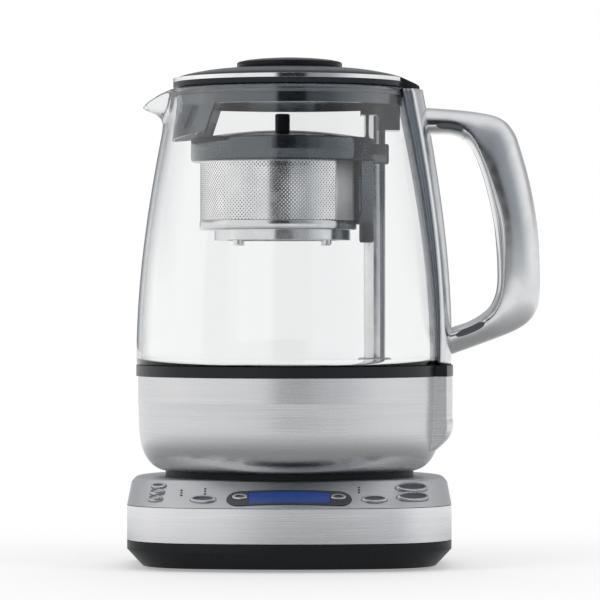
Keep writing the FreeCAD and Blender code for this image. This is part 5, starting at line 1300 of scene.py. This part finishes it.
class TEAMAKER_OT_panel(bpy.types.Operator):
    """Display, buttons and indicator lights of the control panel"""
    bl_idname = "teamaker.panel"
    bl_label = "Control panel"

    def execute(self, context):
        dress("bezel_grey", "display_bezel")
        dress("display_blue", "display_lens")
        dress("inner_grey", "display_module")
        dress("led_dark", "indicator_leds")
        dress("button_metal", *BUTTONS)
        for name in BUTTONS:
            paint_dark_dish_reflection(NODES[name].data)
        return {"FINISHED"}


class TEAMAKER_OT_bowl(bpy.types.Operator):
    """Steel bowl, its cover, the gasket and what heats the floor"""
    bl_idname = "teamaker.bowl"
    bl_label = "Bowl and floor"

    def execute(self, context):
        dress("bowl_steel", "jug_bowl")
        dress("cover_black", "jug_base_cover", "connector_socket")
        dress("gasket_black", "jug_gasket")
        dress("floor_steel", "heater_plate")
        dress("cast_aluminium", "heating_element")
        dress("zinc_steel", "cover_screws", "temperature_sensor")
        dress("inner_grey", "thermal_cutout")
        return {"FINISHED"}


class TEAMAKER_OT_glass(bpy.types.Operator):
    """Blown glass vessel with its drawn spout"""
    bl_idname = "teamaker.glass"
    bl_label = "Glass"

    def execute(self, context):
        make_glass()
        return {"FINISHED"}


class TEAMAKER_OT_handle(bpy.types.Operator):
    """Spine, handle, inner strip, pads of painted dark reflection and screws"""
    bl_idname = "teamaker.handle"
    bl_label = "Spine and handle"

    def execute(self, context):
        spine_piece("spine_back", cover_section, "spine_steel", "polished_steel", "spine_cover")
        spine_piece("spine_lining", liner_section, "liner_grey", "grey_plastic", "spine_liner")
        outside, inside = make_handle()
        make_painted_reflection_pads(outside, inside)
        dress("zinc_steel", "handle_screws")
        return {"FINISHED"}


class TEAMAKER_OT_drive(bpy.types.Operator):
    """Lift post, motor, gears, lead screw and magnet"""
    bl_idname = "teamaker.drive"
    bl_label = "Lift drive"

    def execute(self, context):
        dress("post_steel", "lift_post")
        dress("zinc_steel", "gear_bracket", "lift_motor", "lead_screw")
        dress("gear_nylon", "motor_pinion", "screw_gear")
        dress("magnet_grey", "lift_magnet", "pod_magnets")
        return {"FINISHED"}


class TEAMAKER_OT_basket(bpy.types.Operator):
    """Tea basket with its finely perforated wall"""
    bl_idname = "teamaker.basket"
    bl_label = "Tea basket"

    def execute(self, context):
        dress("ring_grey", "basket_lid")
        make_basket_ring()
        dress("knob_black", "basket_lid_knob")
        dress("mesh_steel", "basket_floor")
        dress("foot_steel", "foot_ring")
        make_basket_mesh()
        make_basket_bands()
        return {"FINISHED"}


class TEAMAKER_OT_lid(bpy.types.Operator):
    """Lid cap, chrome ring, knob, skirt, seal and strainer"""
    bl_idname = "teamaker.lid"
    bl_label = "Lid"

    def execute(self, context):
        make_lid_top()
        dress("chrome", "lid_trim_ring")
        dress("skirt_grey", "lid_skirt", "lid_underplate")
        dress("seal_rubber", "lid_seal")
        make_strainer()
        return {"FINISHED"}


class TEAMAKER_PT_sidebar(bpy.types.Panel):
    """Lists the pieces and their sizes and colours"""
    bl_idname = "TEAMAKER_PT_sidebar"
    bl_label = "Tea maker"
    bl_space_type = "VIEW_3D"
    bl_region_type = "UI"
    bl_category = "Tea maker"

    def draw(self, context):
        for operator in OPERATORS:
            self.layout.operator(operator.bl_idname)
        for attribute, group in SETTINGS.items():
            values = getattr(context.scene, attribute)
            box = self.layout.box()
            for key in group.__annotations__:
                box.prop(values, key)


SETTINGS = {
    "teamaker_stage": TeamakerStageSettings,
    "teamaker_steel": TeamakerSteelSettings,
    "teamaker_plastic": TeamakerPlasticSettings,
    "teamaker_glass": TeamakerGlassSettings,
    "teamaker_basket": TeamakerBasketSettings,
    "teamaker_panel": TeamakerPanelSettings,
}
OPERATORS = [
    TEAMAKER_OT_stage, TEAMAKER_OT_base, TEAMAKER_OT_panel, TEAMAKER_OT_bowl, TEAMAKER_OT_glass,
    TEAMAKER_OT_handle, TEAMAKER_OT_drive, TEAMAKER_OT_basket, TEAMAKER_OT_lid,
]


def register():
    for group in SETTINGS.values():
        bpy.utils.register_class(group)
    for operator in OPERATORS:
        bpy.utils.register_class(operator)
    bpy.utils.register_class(TEAMAKER_PT_sidebar)
    for attribute, group in SETTINGS.items():
        setattr(bpy.types.Scene, attribute, PointerProperty(type=group))


def unregister():
    for attribute in SETTINGS:
        delattr(bpy.types.Scene, attribute)
    bpy.utils.unregister_class(TEAMAKER_PT_sidebar)
    for operator in reversed(OPERATORS):
        bpy.utils.unregister_class(operator)
    for group in reversed(list(SETTINGS.values())):
        bpy.utils.unregister_class(group)


def main():
    register()
    bpy.ops.teamaker.stage()
    bpy.ops.teamaker.base()
    bpy.ops.teamaker.panel()
    bpy.ops.teamaker.bowl()
    bpy.ops.teamaker.glass()
    bpy.ops.teamaker.handle()
    bpy.ops.teamaker.drive()
    bpy.ops.teamaker.basket()
    bpy.ops.teamaker.lid()


if __name__ == "__main__":
    main()
